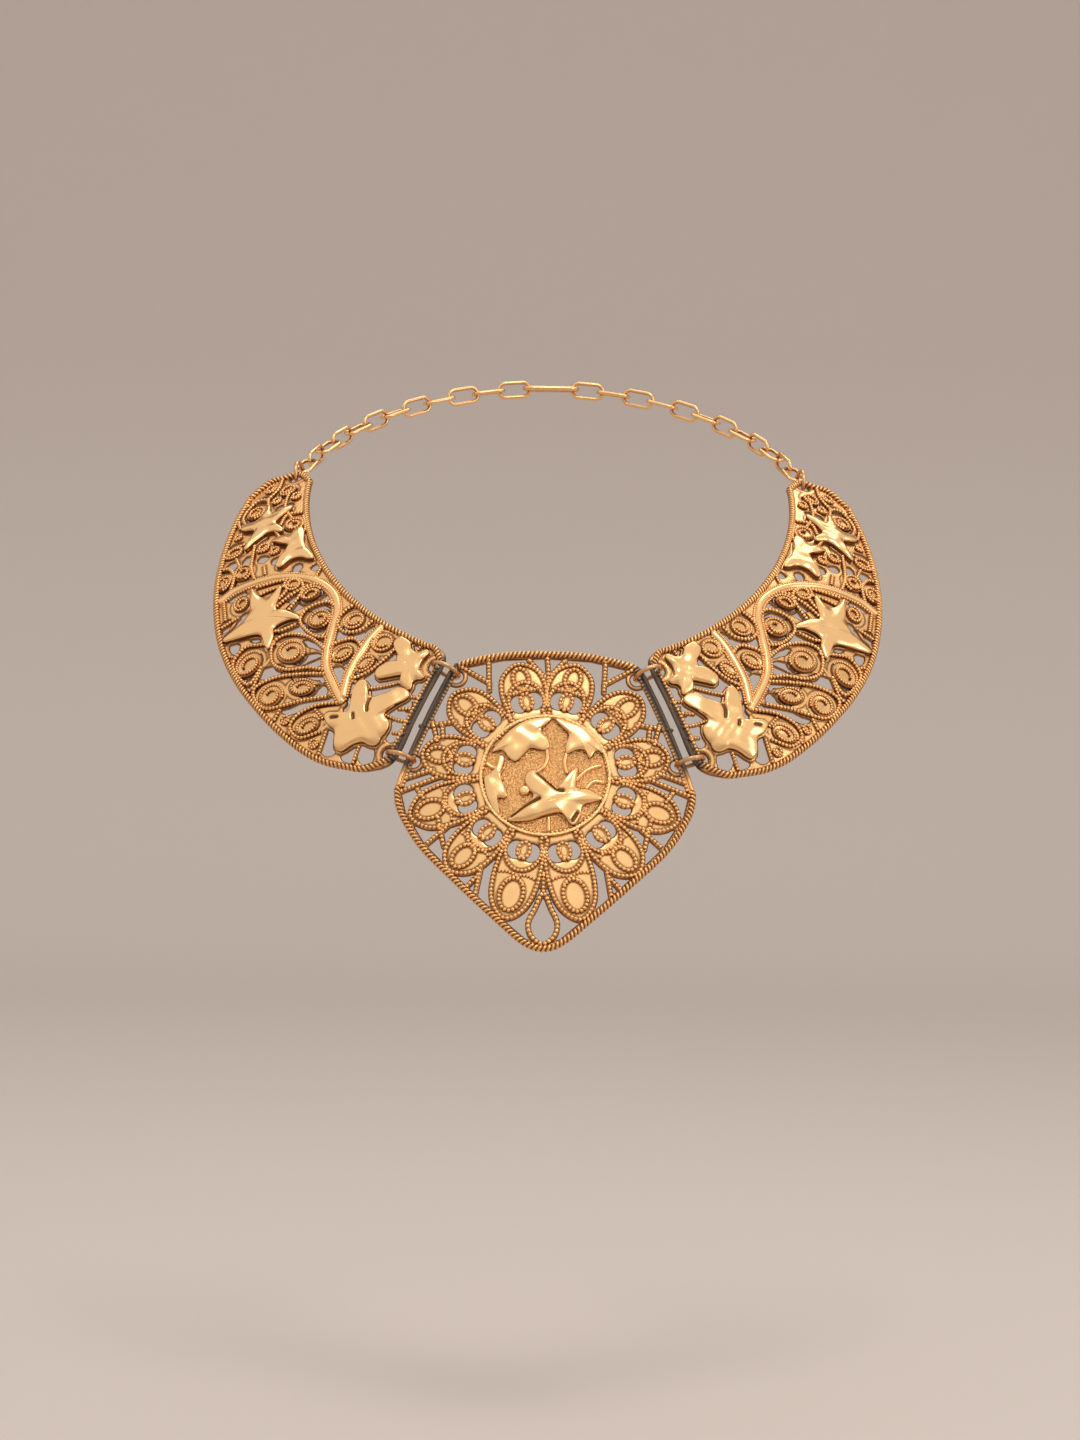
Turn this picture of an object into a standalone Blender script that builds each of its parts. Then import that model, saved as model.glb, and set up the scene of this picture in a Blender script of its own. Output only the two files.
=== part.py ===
"""Bib necklace: a cast, pierced collar of three plates on jump rings, closed by a chain.

Metres, +Z up. The necklace is modelled as worn: +X to the viewer's right, the front
faces -Y. The origin is at the middle of the neck, at the height of the collar's sides.
"""
import math

import bmesh
import bpy
import numpy as np
from mathutils import Matrix, Vector
from mathutils.geometry import delaunay_2d_cdt

NECKLACE = "bib_necklace"

# The neck that the collar goes round, and how the collar lies on it
NECK_HALF_WIDTH = 0.068
NECK_HALF_DEPTH = 0.070
COLLAR_TILT = math.radians(35.0)
FRONT_DROP = 0.054
BACK_RISE = 0.034

# Cast plates
SIDE_WIDTH = 0.0433
SIDE_BULGE = 0.0015
CENTRE_HALF_WIDTH = 0.0396
CENTRE_TOP = 0.0356
CENTRE_DROP = 0.0484
CENTRE_TILT = math.radians(23.0)
CENTRE_CURVE = 0.190
CENTRE_PLACE = (0.0, -0.0795, -0.0829)
FLOOR_LIFT = 0.0009
WIRE_WIDTH = 0.0012
WIRE_EDGE = 0.0011
WIRE_CREST = 0.0017
WIRE_LIFT = 0.0015
STEM_WIDTH = 0.0024
STEM_CREST = 0.0019
ROPE_WIDTH = 0.0022
ROPE_CREST = 0.0023
CUP_RIM = 0.0017
CUP_HOLLOW = 0.0008
LEAF_EDGE = 0.0021
LEAF_SLOPE = 0.0006
LEAF_CREST = 0.0026
CORNER_RADIUS = 0.0035
SMALLEST_GAP = 0.0000009

# Medallion and petals of the centre plate
MEDALLION_RADIUS = 0.0170
MEDALLION_LIFT = 0.0013
MEDALLION_RIM = 0.0020
PETAL_WIDTH = 0.0117
SMALL_LOOP_RADIUS = 0.0019
SMALL_LOOP_PLACE = 0.0045
UPPER_LOOP_RADIUS = 0.0022
SICKLE_WIDTH = 0.0021
DROP_WIDTH = 0.0074

# Jump rings, chain and clasp
RING_WIRE = 0.0012
RING_RADIUS = 0.0037
RING_HOLE = 0.0017
HOLE_INSET = {"upper": 0.0028, "lower": 0.0023, "rear": 0.0022}
LINK_WIRE = 0.0011
LINK_RADIUS = 0.0022
LINK_STRAIGHT = 0.0052
LINK_CLEARANCE = 0.00035
CLASP_WIRE = 0.0014
CLASP_RADIUS = 0.0026
CLASP_STRAIGHT = 0.0110

# How finely the pattern is drawn
STEP = 0.0052
MERGE = 0.00001
RING_SIDES = 10
WIRE_SIDES = 5

# Side plate, front end to rear end: place along its middle line, angle round the neck from
# the front, width as a share of SIDE_WIDTH, and the slope and heading of its width
SIDE_ROWS = [
    # along, neck angle, width, slope, heading
    (0.000, 21.5, 0.855, 60.5, 56.7),
    (0.134, 31.2, 1.000, 51.4, 66.0),
    (0.225, 39.0, 0.988, 47.0, 69.5),
    (0.310, 45.5, 0.958, 42.0, 73.0),
    (0.395, 52.2, 0.924, 38.5, 76.0),
    (0.488, 59.8, 0.871, 35.0, 78.0),
    (0.617, 69.5, 0.758, 28.8, 81.0),
    (0.786, 81.5, 0.600, 22.5, 85.0),
    (1.000, 98.5, 0.402, 16.0, 92.0),
]

# Right half of the centre plate's outline: x as a share of CENTRE_HALF_WIDTH, y as a share
# of CENTRE_TOP above the medallion's middle and of CENTRE_DROP below it
CENTRE_OUTLINE = [
    # x, y
    (0.00, 1.000), (0.30, 0.985), (0.57, 0.925), (0.655, 0.850), (0.785, 0.540),
    (0.935, 0.130), (0.990, -0.040), (1.00, -0.090), (0.965, -0.210), (0.82, -0.410),
    (0.58, -0.620), (0.33, -0.820), (0.14, -0.960), (0.00, -1.000),
]

# Petals of the right half: angle from straight up, and reach of the outer end from the
# medallion's middle as a share of MEDALLION_RADIUS
PETALS = [
    # angle, reach
    (14.0, 1.95), (46.5, 2.02), (77.5, 1.97), (107.0, 2.18), (137.0, 2.13), (166.0, 2.42),
]
# Half of a petal: along from the medallion's rim to the outer end, half width as a share
PETAL_OUTLINE = [
    # along, half width
    (-0.02, 0.80), (0.20, 0.95), (0.48, 1.00), (0.76, 0.84), (0.93, 0.46),
]
# Struts of the centre plate's right half, from the border inwards, in shares of
# CENTRE_HALF_WIDTH and CENTRE_DROP
STRUTS = [
    # x, y, x, y
    (0.39, 0.685, 0.38, 0.500), (0.575, 0.640, 0.38, 0.545), (0.825, 0.305, 0.600, 0.320),
    (0.690, 0.310, 0.680, 0.225), (0.960, -0.075, 0.700, 0.000), (0.77, -0.385, 0.635, -0.290),
    (0.44, -0.680, 0.405, -0.515), (0.52, -0.655, 0.415, -0.560),
]
# Middle strut, at the top
MIDDLE_STRUT = [(0.00, 0.690), (0.015, 0.570), (0.00, 0.400)]

# Leaves of the medallion, in shares of MEDALLION_RADIUS
MEDALLION_STAR = {
    "middle": (0.14, -0.34),
    "tips": [(-0.26, 0.06), (0.55, 0.12), (0.90, -0.40), (0.42, -0.84), (-0.60, -0.80)],
    "arm": 0.15,
}
MEDALLION_LEAVES = {
    "upper_left": [(-0.88, 0.40), (-0.76, 0.66), (-0.50, 0.84), (-0.04, 0.90), (0.06, 0.76),
                   (-0.16, 0.62), (-0.22, 0.42), (-0.40, 0.40), (-0.56, 0.26), (-0.64, 0.44)],
    "upper_right": [(0.10, 0.84), (0.44, 0.86), (0.76, 0.62), (0.90, 0.38), (0.82, 0.20),
                    (0.64, 0.44), (0.40, 0.32), (0.28, 0.50), (0.30, 0.70)],
    "left": [(-0.92, 0.30), (-0.66, 0.26), (-0.66, -0.04), (-0.56, -0.30),
             (-0.72, -0.46), (-0.66, -0.68), (-0.84, -0.50), (-0.94, -0.18)],
}

# Five-lobed leaves of a side plate: places are (along, across) shares of the plate, across
# from the neck's edge outwards; arm is an arm's half width in metres
SIDE_STARS = [
    {"middle": (0.080, 0.20), "arm": 0.0031,
     "tips": [(0.155, 0.06), (0.055, 0.06), (0.018, 0.27), (0.052, 0.42), (0.145, 0.35)]},
    {"middle": (0.095, 0.67), "arm": 0.0042,
     "tips": [(0.160, 0.44), (0.045, 0.41), (0.024, 0.88), (0.108, 0.93), (0.172, 0.73)]},
    {"middle": (0.475, 0.67), "arm": 0.0034,
     "tips": [(0.412, 0.38), (0.400, 0.76), (0.488, 0.95), (0.570, 0.90), (0.545, 0.56)]},
    {"middle": (0.640, 0.24), "arm": 0.0029,
     "tips": [(0.715, 0.12), (0.560, 0.10), (0.585, 0.40), (0.680, 0.52), (0.700, 0.30)]},
    {"middle": (0.790, 0.50), "arm": 0.0025,
     "tips": [(0.840, 0.20), (0.745, 0.26), (0.735, 0.72), (0.815, 0.84), (0.870, 0.52)]},
]
# Stems, as (along, across) shares
STEMS = [
    [(0.165, 0.60), (0.200, 0.55), (0.250, 0.48), (0.285, 0.39), (0.325, 0.26), (0.370, 0.14),
     (0.430, 0.09), (0.500, 0.15), (0.555, 0.29), (0.590, 0.50), (0.610, 0.78), (0.605, 0.97)],
    [(0.172, 0.57), (0.198, 0.42), (0.212, 0.28), (0.222, 0.15), (0.224, 0.02)],
]
# Beaded branch wires, as (along, across) shares
BRANCHES = {
    "low_post": [(0.155, 0.80), (0.135, 0.98)],
    "second_twig": [(0.265, 0.87), (0.258, 0.98)],
    "third_twig": [(0.372, 0.78), (0.345, 0.90), (0.348, 0.98)],
    "leaf_tie": [(0.190, 0.46), (0.168, 0.44)],
    "upper_slit": [(0.140, 0.45), (0.110, 0.39), (0.080, 0.33)],
    "edge_tie": [(0.052, 0.42), (0.006, 0.41)],
    "edge_sprig": [(0.070, 0.58), (0.040, 0.60), (0.006, 0.61)],
    "foot_sprig": [(0.082, 0.82), (0.075, 0.97)],
    "top_curl": [(0.096, 0.02), (0.096, 0.10)],
    "arch_one": [(0.430, 0.12), (0.475, 0.26), (0.488, 0.42), (0.480, 0.56)],
    "arch_two": [(0.535, 0.24), (0.548, 0.40), (0.545, 0.56)],
    "outer_tie": [(0.530, 0.78), (0.535, 0.98)],
    "rim_curl": [(0.500, 0.15), (0.530, 0.06), (0.560, 0.02)],
    "rear_one": [(0.608, 0.60), (0.660, 0.62), (0.735, 0.60)],
    "rear_three": [(0.700, 0.30), (0.745, 0.36), (0.790, 0.44)],
    "rear_four": [(0.700, 0.12), (0.752, 0.10), (0.800, 0.02)],
    "rear_five": [(0.790, 0.20), (0.850, 0.30), (0.910, 0.30)],
    "rear_six": [(0.870, 0.52), (0.905, 0.62), (0.912, 0.97)],
    "rear_seven": [(0.810, 0.78), (0.860, 0.82), (0.870, 0.98)],
    "rear_eight": [(0.760, 0.72), (0.762, 0.98)],
    "rear_nine": [(0.905, 0.60), (0.940, 0.50), (0.985, 0.52)],
}
# Floors that close the heads of the branches, as (along, across) shares
FLOORS = [
    [(0.158, 0.62), (0.180, 0.62), (0.214, 0.73), (0.230, 0.86), (0.215, 0.94), (0.186, 0.92),
     (0.165, 0.80)],
    [(0.232, 0.50), (0.262, 0.50), (0.305, 0.68), (0.340, 0.84), (0.338, 0.94), (0.300, 0.97),
     (0.262, 0.86), (0.240, 0.72)],
    [(0.285, 0.40), (0.345, 0.42), (0.398, 0.52), (0.402, 0.64), (0.350, 0.72), (0.316, 0.66),
     (0.300, 0.54)],
    [(0.388, 0.60), (0.412, 0.66), (0.442, 0.80), (0.432, 0.93), (0.395, 0.99), (0.358, 0.92),
     (0.372, 0.76)],
    [(0.310, 0.30), (0.345, 0.38), (0.405, 0.40), (0.425, 0.28), (0.405, 0.12), (0.365, 0.17)],
    [(0.222, 0.01), (0.215, 0.22), (0.197, 0.36), (0.182, 0.44), (0.160, 0.34), (0.152, 0.12),
     (0.168, 0.01)],
    [(0.258, 0.01), (0.262, 0.14), (0.290, 0.22), (0.340, 0.21), (0.345, 0.01)],
    [(0.215, 0.24), (0.256, 0.22), (0.282, 0.34), (0.274, 0.45), (0.235, 0.42)],
    [(0.604, 0.84), (0.655, 0.80), (0.690, 0.86), (0.700, 0.99), (0.604, 0.99)],
    [(0.440, 0.08), (0.480, 0.14), (0.492, 0.30), (0.448, 0.30)],
    [(0.718, 0.04), (0.790, 0.02), (0.806, 0.28), (0.750, 0.36), (0.700, 0.18)],
    [(0.845, 0.60), (0.895, 0.56), (0.915, 0.78), (0.860, 0.86), (0.820, 0.74)],
]
# Cups at the heads of the branches: place, radius in metres, how much longer than wide,
# and the place towards which the cup is long
CUPS = [
    # along, across, radius, stretch, towards along, towards across
    (0.194, 0.84, 0.0026, 1.4, 0.160, 0.68), (0.302, 0.86, 0.0036, 1.0, 0.270, 0.80),
    (0.262, 0.68, 0.0026, 1.5, 0.205, 0.57), (0.350, 0.57, 0.0038, 1.2, 0.270, 0.50),
    (0.402, 0.85, 0.0040, 1.1, 0.398, 0.68), (0.376, 0.28, 0.0034, 1.0, 0.320, 0.32),
    (0.300, 0.12, 0.0031, 1.0, 0.326, 0.18), (0.248, 0.34, 0.0025, 1.3, 0.262, 0.44),
    (0.188, 0.13, 0.0032, 1.0, 0.222, 0.14), (0.185, 0.31, 0.0022, 1.4, 0.192, 0.44),
    (0.655, 0.91, 0.0026, 1.2, 0.606, 0.92), (0.762, 0.18, 0.0028, 1.2, 0.720, 0.12),
    (0.868, 0.70, 0.0028, 1.0, 0.820, 0.70), (0.464, 0.22, 0.0024, 1.3, 0.450, 0.10),
]
# Cups on tails of their own, and the place where the tail ends
TAILED_CUPS = [
    # along, across, radius, stretch, tail along, tail across
    (0.655, 0.71, 0.0030, 1.2, 0.610, 0.68), (0.525, 0.30, 0.0024, 1.2, 0.562, 0.36),
    (0.560, 0.74, 0.0024, 1.2, 0.606, 0.70), (0.925, 0.34, 0.0024, 1.0, 0.900, 0.50),
    (0.745, 0.84, 0.0026, 1.2, 0.755, 0.99),
]

# Holes for the jump rings
SIDE_HOLES = {
    # along is a distance from the plate's end, across a share of its width there
    "upper": 0.150,
    "lower": 0.860,
    "rear": 0.300,
}


def clear_scene():
    """Remove every object, so that the script gives the same result each time it runs."""
    for item in list(bpy.data.objects):
        bpy.data.objects.remove(item, do_unlink=True)


def new_collection(name):
    """A collection of the scene."""
    collection = bpy.data.collections.new(name)
    bpy.context.scene.collection.children.link(collection)
    return collection


def gold_material(name, colour, roughness):
    """A plated metal of one colour."""
    material = bpy.data.materials.new(name)
    material.use_nodes = True
    shader = material.node_tree.nodes["Principled BSDF"]
    shader.inputs["Base Color"].default_value = (*colour, 1.0)
    shader.inputs["Metallic"].default_value = 1.0
    shader.inputs["Roughness"].default_value = roughness
    return material


def finish_object(item, name, collection, material):
    """Name an object and its mesh, put it in its collection and give it its material."""
    item.name = name
    item.data.name = name
    for owner in list(item.users_collection):
        owner.objects.unlink(item)
    collection.objects.link(item)
    item.data.materials.clear()
    item.data.materials.append(material)
    item.data.shade_smooth()
    item.data.set_sharp_from_angle(angle=math.radians(35.0))
    return item


def smooth_path(points, step):
    """Points about a step apart on a Catmull-Rom curve through the given ones."""
    given = np.array(points, dtype=float)
    ends = [2 * given[0] - given[1], *given, 2 * given[-1] - given[-2]]
    path = [given[0]]
    for start in range(1, len(given)):
        before, here, there, after = ends[start - 1:start + 3]
        pieces = max(1, round(float(np.linalg.norm(there - here)) / step))
        for piece in range(1, pieces + 1):
            share = piece / pieces
            path.append(0.5 * (2 * here + (there - before) * share
                               + (2 * before - 5 * here + 4 * there - after) * share ** 2
                               + (3 * here - before - 3 * there + after) * share ** 3))
    return np.array(path)


def side_column(along, number):
    """A column of SIDE_ROWS, read smoothly at a share along the plate."""
    rows = np.array(SIDE_ROWS)
    places = rows[:, 0]
    values = rows[:, number]
    slopes = np.gradient(values, places)
    row = np.clip(np.searchsorted(places, along) - 1, 0, len(places) - 2)
    span = places[row + 1] - places[row]
    share = (along - places[row]) / span
    return ((2 * share ** 3 - 3 * share ** 2 + 1) * values[row]
            + (share ** 3 - 2 * share ** 2 + share) * span * slopes[row]
            + (3 * share ** 2 - 2 * share ** 3) * values[row + 1]
            + (share ** 3 - share ** 2) * span * slopes[row + 1])


def side_width(along):
    """Width of the side plate at a share along it."""
    return side_column(np.asarray(along, dtype=float), 2) * SIDE_WIDTH


def side_sheet(along, across):
    """Point of the right side plate's back, without its bulge."""
    angle = np.radians(side_column(along, 1))
    slope = np.radians(side_column(along, 3))
    heading = np.radians(side_column(along, 4))
    rise = NECK_HALF_DEPTH * (1 - np.cos(angle)) * math.tan(COLLAR_TILT)
    edge = np.stack([NECK_HALF_WIDTH * np.sin(angle), -NECK_HALF_DEPTH * np.cos(angle),
                     rise - FRONT_DROP], -1)
    down = np.stack([np.sin(heading) * np.cos(slope), -np.cos(heading) * np.cos(slope),
                     -np.sin(slope)], -1)
    return edge + down * (across * side_width(along))[..., None]


def side_surface(along, across, lift):
    """Point at a height over the right side plate's back, which bulges in the middle."""
    along = np.asarray(along, dtype=float)
    across = np.asarray(across, dtype=float)
    nudge = 0.001
    forward = side_sheet(along + nudge, across) - side_sheet(along - nudge, across)
    outward = side_sheet(along, across + nudge) - side_sheet(along, across - nudge)
    normal = np.cross(outward, forward)
    normal /= np.linalg.norm(normal, axis=-1, keepdims=True)
    bulge = SIDE_BULGE * 4 * across * (1 - across) * side_width(along) / SIDE_WIDTH
    return side_sheet(along, across) + normal * (bulge + lift)[..., None]


def side_measures():
    """Turn of the side plate's flat pattern and radius of its inner edge."""
    shares = np.linspace(0.0, 1.0, 200)
    lengths = []
    for across in (0.0, 1.0):
        edge = side_sheet(shares, np.full_like(shares, across))
        lengths.append(float(np.linalg.norm(np.diff(edge, axis=0), axis=1).sum()))
    turn = (lengths[1] - lengths[0]) / float(side_width(shares).mean())
    return turn, lengths[0] / turn


SIDE_TURN, SIDE_FLAT_RADIUS = side_measures()


def side_flat(along, across):
    """Point of the side plate's flat pattern, a stretch of a ring, at two shares."""
    angle = np.asarray(along, dtype=float) * SIDE_TURN
    radius = SIDE_FLAT_RADIUS + np.asarray(across, dtype=float) * side_width(along)
    return np.stack([radius * np.sin(angle), radius * np.cos(angle)], -1)


def side_bend(points, lift):
    """Points of the flat pattern carried to the right side plate's place."""
    along = np.arctan2(points[:, 0], points[:, 1]) / SIDE_TURN
    across = (np.hypot(points[:, 0], points[:, 1]) - SIDE_FLAT_RADIUS) / side_width(along)
    return side_surface(along, across, lift)


def centre_bend(points, lift):
    """Points of the centre plate's flat pattern on its upright, tilted, curved place."""
    angle = points[:, 0] / CENTRE_CURVE
    reach = CENTRE_CURVE + lift
    sideways = reach * np.sin(angle)
    forward = reach * np.cos(angle) - CENTRE_CURVE
    down = np.array([0.0, -math.sin(CENTRE_TILT), -math.cos(CENTRE_TILT)])
    out = np.array([0.0, -math.cos(CENTRE_TILT), math.sin(CENTRE_TILT)])
    across = np.array([1.0, 0.0, 0.0])
    return (np.array(CENTRE_PLACE) + sideways[:, None] * across
            - points[:, 1][:, None] * down + forward[:, None] * out)


def across_path(path, closed):
    """Directions across a flat path, to its left, at each of its points."""
    if closed:
        behind, ahead = np.roll(path, 1, axis=0), np.roll(path, -1, axis=0)
    else:
        behind = np.vstack([path[:1], path[:-1]])
        ahead = np.vstack([path[1:], path[-1:]])
    along = ahead - behind
    along /= np.linalg.norm(along, axis=1)[:, None]
    return np.stack([-along[:, 1], along[:, 0]], 1)


def set_in(outline, inset):
    """A closed outline moved inwards, by one distance or by one for each point."""
    outline = np.array(outline)
    ahead = np.roll(outline, -1, axis=0)
    area = float((outline[:, 0] * ahead[:, 1] - ahead[:, 0] * outline[:, 1]).sum())
    distances = np.broadcast_to(inset, len(outline)) * math.copysign(1.0, area)
    return outline + across_path(outline, True) * distances[:, None]


class FlatPattern:
    """Flat shapes laid over each other; a later shape hides an earlier one under it."""

    def __init__(self, outline):
        self.points = []
        self.lifts = []
        self.levelled = set()
        self.faces = []
        self.solid = []
        self.creases = []
        self.ridges = []
        self.add_face([self.add_point(point, None) for point in outline], False)

    def add_point(self, point, lift):
        """Add a point, with its height or with None where the shapes under it say."""
        self.points.append((float(point[0]), float(point[1])))
        self.lifts.append(lift)
        return len(self.points) - 1

    def add_face(self, corners, solid):
        """Add a face, solid or open."""
        self.faces.append(corners)
        self.solid.append(solid)

    def pad(self, outline, lift):
        """A filled shape of one height."""
        self.add_face([self.add_point(point, lift) for point in outline], True)

    def leaf(self, outline, slope, foot, top):
        """A raised leaf: its outline at the foot's height, and its top set in by a slope."""
        self.pad(outline, foot)
        self.pad(set_in(outline, slope), top)

    def gap(self, outline):
        """A hole through what lies under it."""
        self.add_face([self.add_point(point, None) for point in outline], False)

    def eye(self, middle, radius, width, lift):
        """A level ring of ground round a round hole, eight-sided."""
        turns = np.linspace(0.0, 2 * math.pi, 8, endpoint=False)
        circle = np.stack([np.cos(turns), np.sin(turns)], 1)
        for reach, solid in ((radius + width, True), (radius, False)):
            corners = [self.add_point(point, lift) for point in middle + circle * reach]
            self.levelled.update(corners)
            self.add_face(corners, solid)

    def strip(self, path, width, lift):
        """A flat-topped wire, as one row of four-sided faces."""
        path = np.array(path)
        side = across_path(path, False) * width / 2
        rows = [[self.add_point(point, lift) for point in line] for line in (path + side, path - side)]
        for start in range(len(path) - 1):
            self.add_face([rows[0][start], rows[0][start + 1], rows[1][start + 1], rows[1][start]],
                          True)
            self.ridges.append((path[start], path[start + 1], width / 2, lift, lift))

    def wire(self, path, width, edge, crest, closed=False):
        """A wire with a ridge along its middle, as two rows of four-sided faces."""
        path = np.array(path)
        count = len(path)
        widths = np.broadcast_to(width, count)
        crests = np.broadcast_to(crest, count)
        side = across_path(path, closed) * widths[:, None] / 2
        rows = [[self.add_point(point, lift) for point, lift in zip(line, lifts)]
                for line, lifts in ((path + side, [edge] * count), (path, crests),
                                    (path - side, [edge] * count))]
        for start in range(count if closed else count - 1):
            end = (start + 1) % count
            for upper, lower in zip(rows, rows[1:]):
                self.add_face([upper[start], upper[end], lower[end], lower[start]], True)
            self.ridges.append((path[start], path[end], widths[start] / 2, edge, crests[start]))

    def cup(self, middle, radius, stretch=1.0, direction=(1.0, 0.0), sides=8):
        """A round or oval cup: a raised rim round a hollow."""
        along = np.array(direction)
        side = np.array([-along[1], along[0]])
        rings = []
        for share, lift in ((1.0, FLOOR_LIFT), (0.72, CUP_RIM)):
            turns = [2 * math.pi * corner / sides for corner in range(sides)]
            rings.append([self.add_point(middle + radius * share * (
                stretch * math.cos(turn) * along + math.sin(turn) * side), lift) for turn in turns])
        heart = self.add_point(middle, CUP_HOLLOW)
        for start in range(sides):
            end = (start + 1) % sides
            self.add_face([rings[0][start], rings[0][end], rings[1][end], rings[1][start]], True)
            self.add_face([rings[1][start], rings[1][end], heart], True)

    def star(self, middle, tips, arm, foot):
        """A leaf of pointed arms with a crest along each arm."""
        middle = np.array(middle)
        reaches = [np.array(tip) - middle for tip in tips]
        lengths = [float(np.linalg.norm(reach)) for reach in reaches]
        headings = [math.atan2(reach[1], reach[0]) for reach in reaches]
        clockwise = math.sin(headings[1] - headings[0]) < 0
        order = range(len(tips))[::-1] if clockwise else range(len(tips))
        following = dict(zip(order, [*order][1:] + [*order][:1]))
        gaps = {one: (headings[other] - headings[one]) % (2 * math.pi)
                for one, other in following.items()}
        before = {other: gaps[one] for one, other in following.items()}
        heart = self.add_point(middle, LEAF_CREST)
        outline = []
        for one in order:
            out = reaches[one] / lengths[one]
            side = np.array([-out[1], out[0]])
            room = math.tan(min(gaps[one], before[one], 2.0) / 2) * 0.6 * lengths[one]
            half = min(arm, 0.75 * room)
            bisector = headings[one] + gaps[one] / 2
            notch = min(half / math.sin(min(gaps[one], 2.4) / 2), 0.55 * lengths[one])
            outline += [middle + 0.6 * reaches[one] - half * side, middle + reaches[one],
                        middle + 0.6 * reaches[one] + half * side,
                        middle + notch * np.array([math.cos(bisector), math.sin(bisector)])]
            shoulder = self.add_point(middle + 0.62 * reaches[one], LEAF_CREST)
            self.creases.append((heart, shoulder))
        self.add_face([self.add_point(point, foot) for point in outline], True)

    def ridge_lift(self, point):
        """Greatest height of the wires over a point, or None where no wire passes."""
        best = None
        for start, end, half, edge, crest in self.ridges:
            reach = end - start
            share = float(np.dot(point - start, reach) / max(np.dot(reach, reach), 1e-12))
            away = float(np.linalg.norm(point - start - min(max(share, 0.0), 1.0) * reach))
            if away < half:
                lift = crest + (edge - crest) * away / half
                best = lift if best is None else max(best, lift)
        return best

    def sheet(self):
        """Points, heights and triangles of the shapes together, with the smallest gaps filled."""
        sides = {frozenset(side) for face in self.faces for side in zip(face, face[1:] + face[:1])}
        sides |= {frozenset(side) for side in self.creases}
        flat = [Vector(point) for point in self.points]
        points, _, faces, sources, _, _ = delaunay_2d_cdt(
            flat, sorted(tuple(sorted(side)) for side in sides), [], 0, MERGE, True)
        points = np.array([tuple(point) for point in points])
        lifts = []
        for number, point in enumerate(points):
            known = [self.lifts[one] for one in sources[number] if self.lifts[one] is not None]
            ridge = None if self.levelled.intersection(sources[number]) else self.ridge_lift(point)
            known += [ridge] if ridge is not None else []
            lifts.append(max(known) if known else FLOOR_LIFT)
        middles = points[np.array(faces)].mean(axis=1)
        top_face = np.full(len(faces), -1)
        for number, face in enumerate(self.faces):
            outline = np.array([self.points[corner] for corner in face])
            top_face[inside_outline(middles, outline)] = number
        kept = [tuple(face) for face, owner in zip(faces, top_face) if owner >= 0 and self.solid[owner]]
        empty = [tuple(face) for face, owner in zip(faces, top_face)
                 if owner >= 0 and not self.solid[owner]]
        filled = set(small_groups(points, empty))
        return points, np.array(lifts), close_pinches(kept + [*filled],
                                                      [face for face in empty if face not in filled])


def close_pinches(kept, empty):
    """Fill the open triangles round each point where two solid stretches only touch."""
    while True:
        borders = [corner for edge in border_edges(kept) for corner in edge]
        pinched = {corner for corner in set(borders) if borders.count(corner) > 2}
        added = [face for face in empty if pinched.intersection(face)]
        if not added:
            return kept
        kept = kept + added
        empty = [face for face in empty if not pinched.intersection(face)]


def inside_outline(places, outline):
    """Which of the places a closed outline goes round, by the times a ray crosses it."""
    inside = np.zeros(len(places), dtype=bool)
    for (ax, ay), (bx, by) in zip(outline, np.roll(outline, -1, axis=0)):
        if ay == by:
            continue
        between = (ay > places[:, 1]) != (by > places[:, 1])
        reach = ax + (places[:, 1] - ay) * (bx - ax) / (by - ay)
        inside ^= between & (places[:, 0] < reach)
    return inside


def small_groups(points, triangles):
    """Triangles of the joined groups whose area is under the smallest gap's."""
    edges = {}
    for number, face in enumerate(triangles):
        for a, b in zip(face, face[1:] + face[:1]):
            edges.setdefault(frozenset((a, b)), []).append(number)
    neighbours = [[] for _ in triangles]
    for owners in edges.values():
        for number in owners:
            neighbours[number] += [other for other in owners if other != number]
    seen = set()
    small = []
    for first in range(len(triangles)):
        if first in seen:
            continue
        group = [first]
        seen.add(first)
        for number in group:
            for other in neighbours[number]:
                if other not in seen:
                    seen.add(other)
                    group.append(other)
        area = 0.0
        for number in group:
            a, b, c = (points[corner] for corner in triangles[number])
            area += abs((b[0] - a[0]) * (c[1] - a[1]) - (c[0] - a[0]) * (b[1] - a[1])) / 2
        if area < SMALLEST_GAP:
            small += [triangles[number] for number in group]
    return small


def border_edges(triangles):
    """Edges that only one triangle has, in that triangle's direction."""
    directed = {(a, b) for face in triangles for a, b in zip(face, face[1:] + face[:1])}
    return [(a, b) for a, b in directed if (b, a) not in directed]


def inside_sheet(places, points, triangles):
    """Which of the places lie on one of the triangles."""
    corners = points[np.array(triangles)]
    found = np.zeros(len(places), dtype=bool)
    for a, b, c in corners:
        first = (b[0] - a[0]) * (places[:, 1] - a[1]) - (b[1] - a[1]) * (places[:, 0] - a[0])
        second = (c[0] - b[0]) * (places[:, 1] - b[1]) - (c[1] - b[1]) * (places[:, 0] - b[0])
        third = (a[0] - c[0]) * (places[:, 1] - c[1]) - (a[1] - c[1]) * (places[:, 0] - c[0])
        found |= (first >= 0) & (second >= 0) & (third >= 0)
    return found


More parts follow.
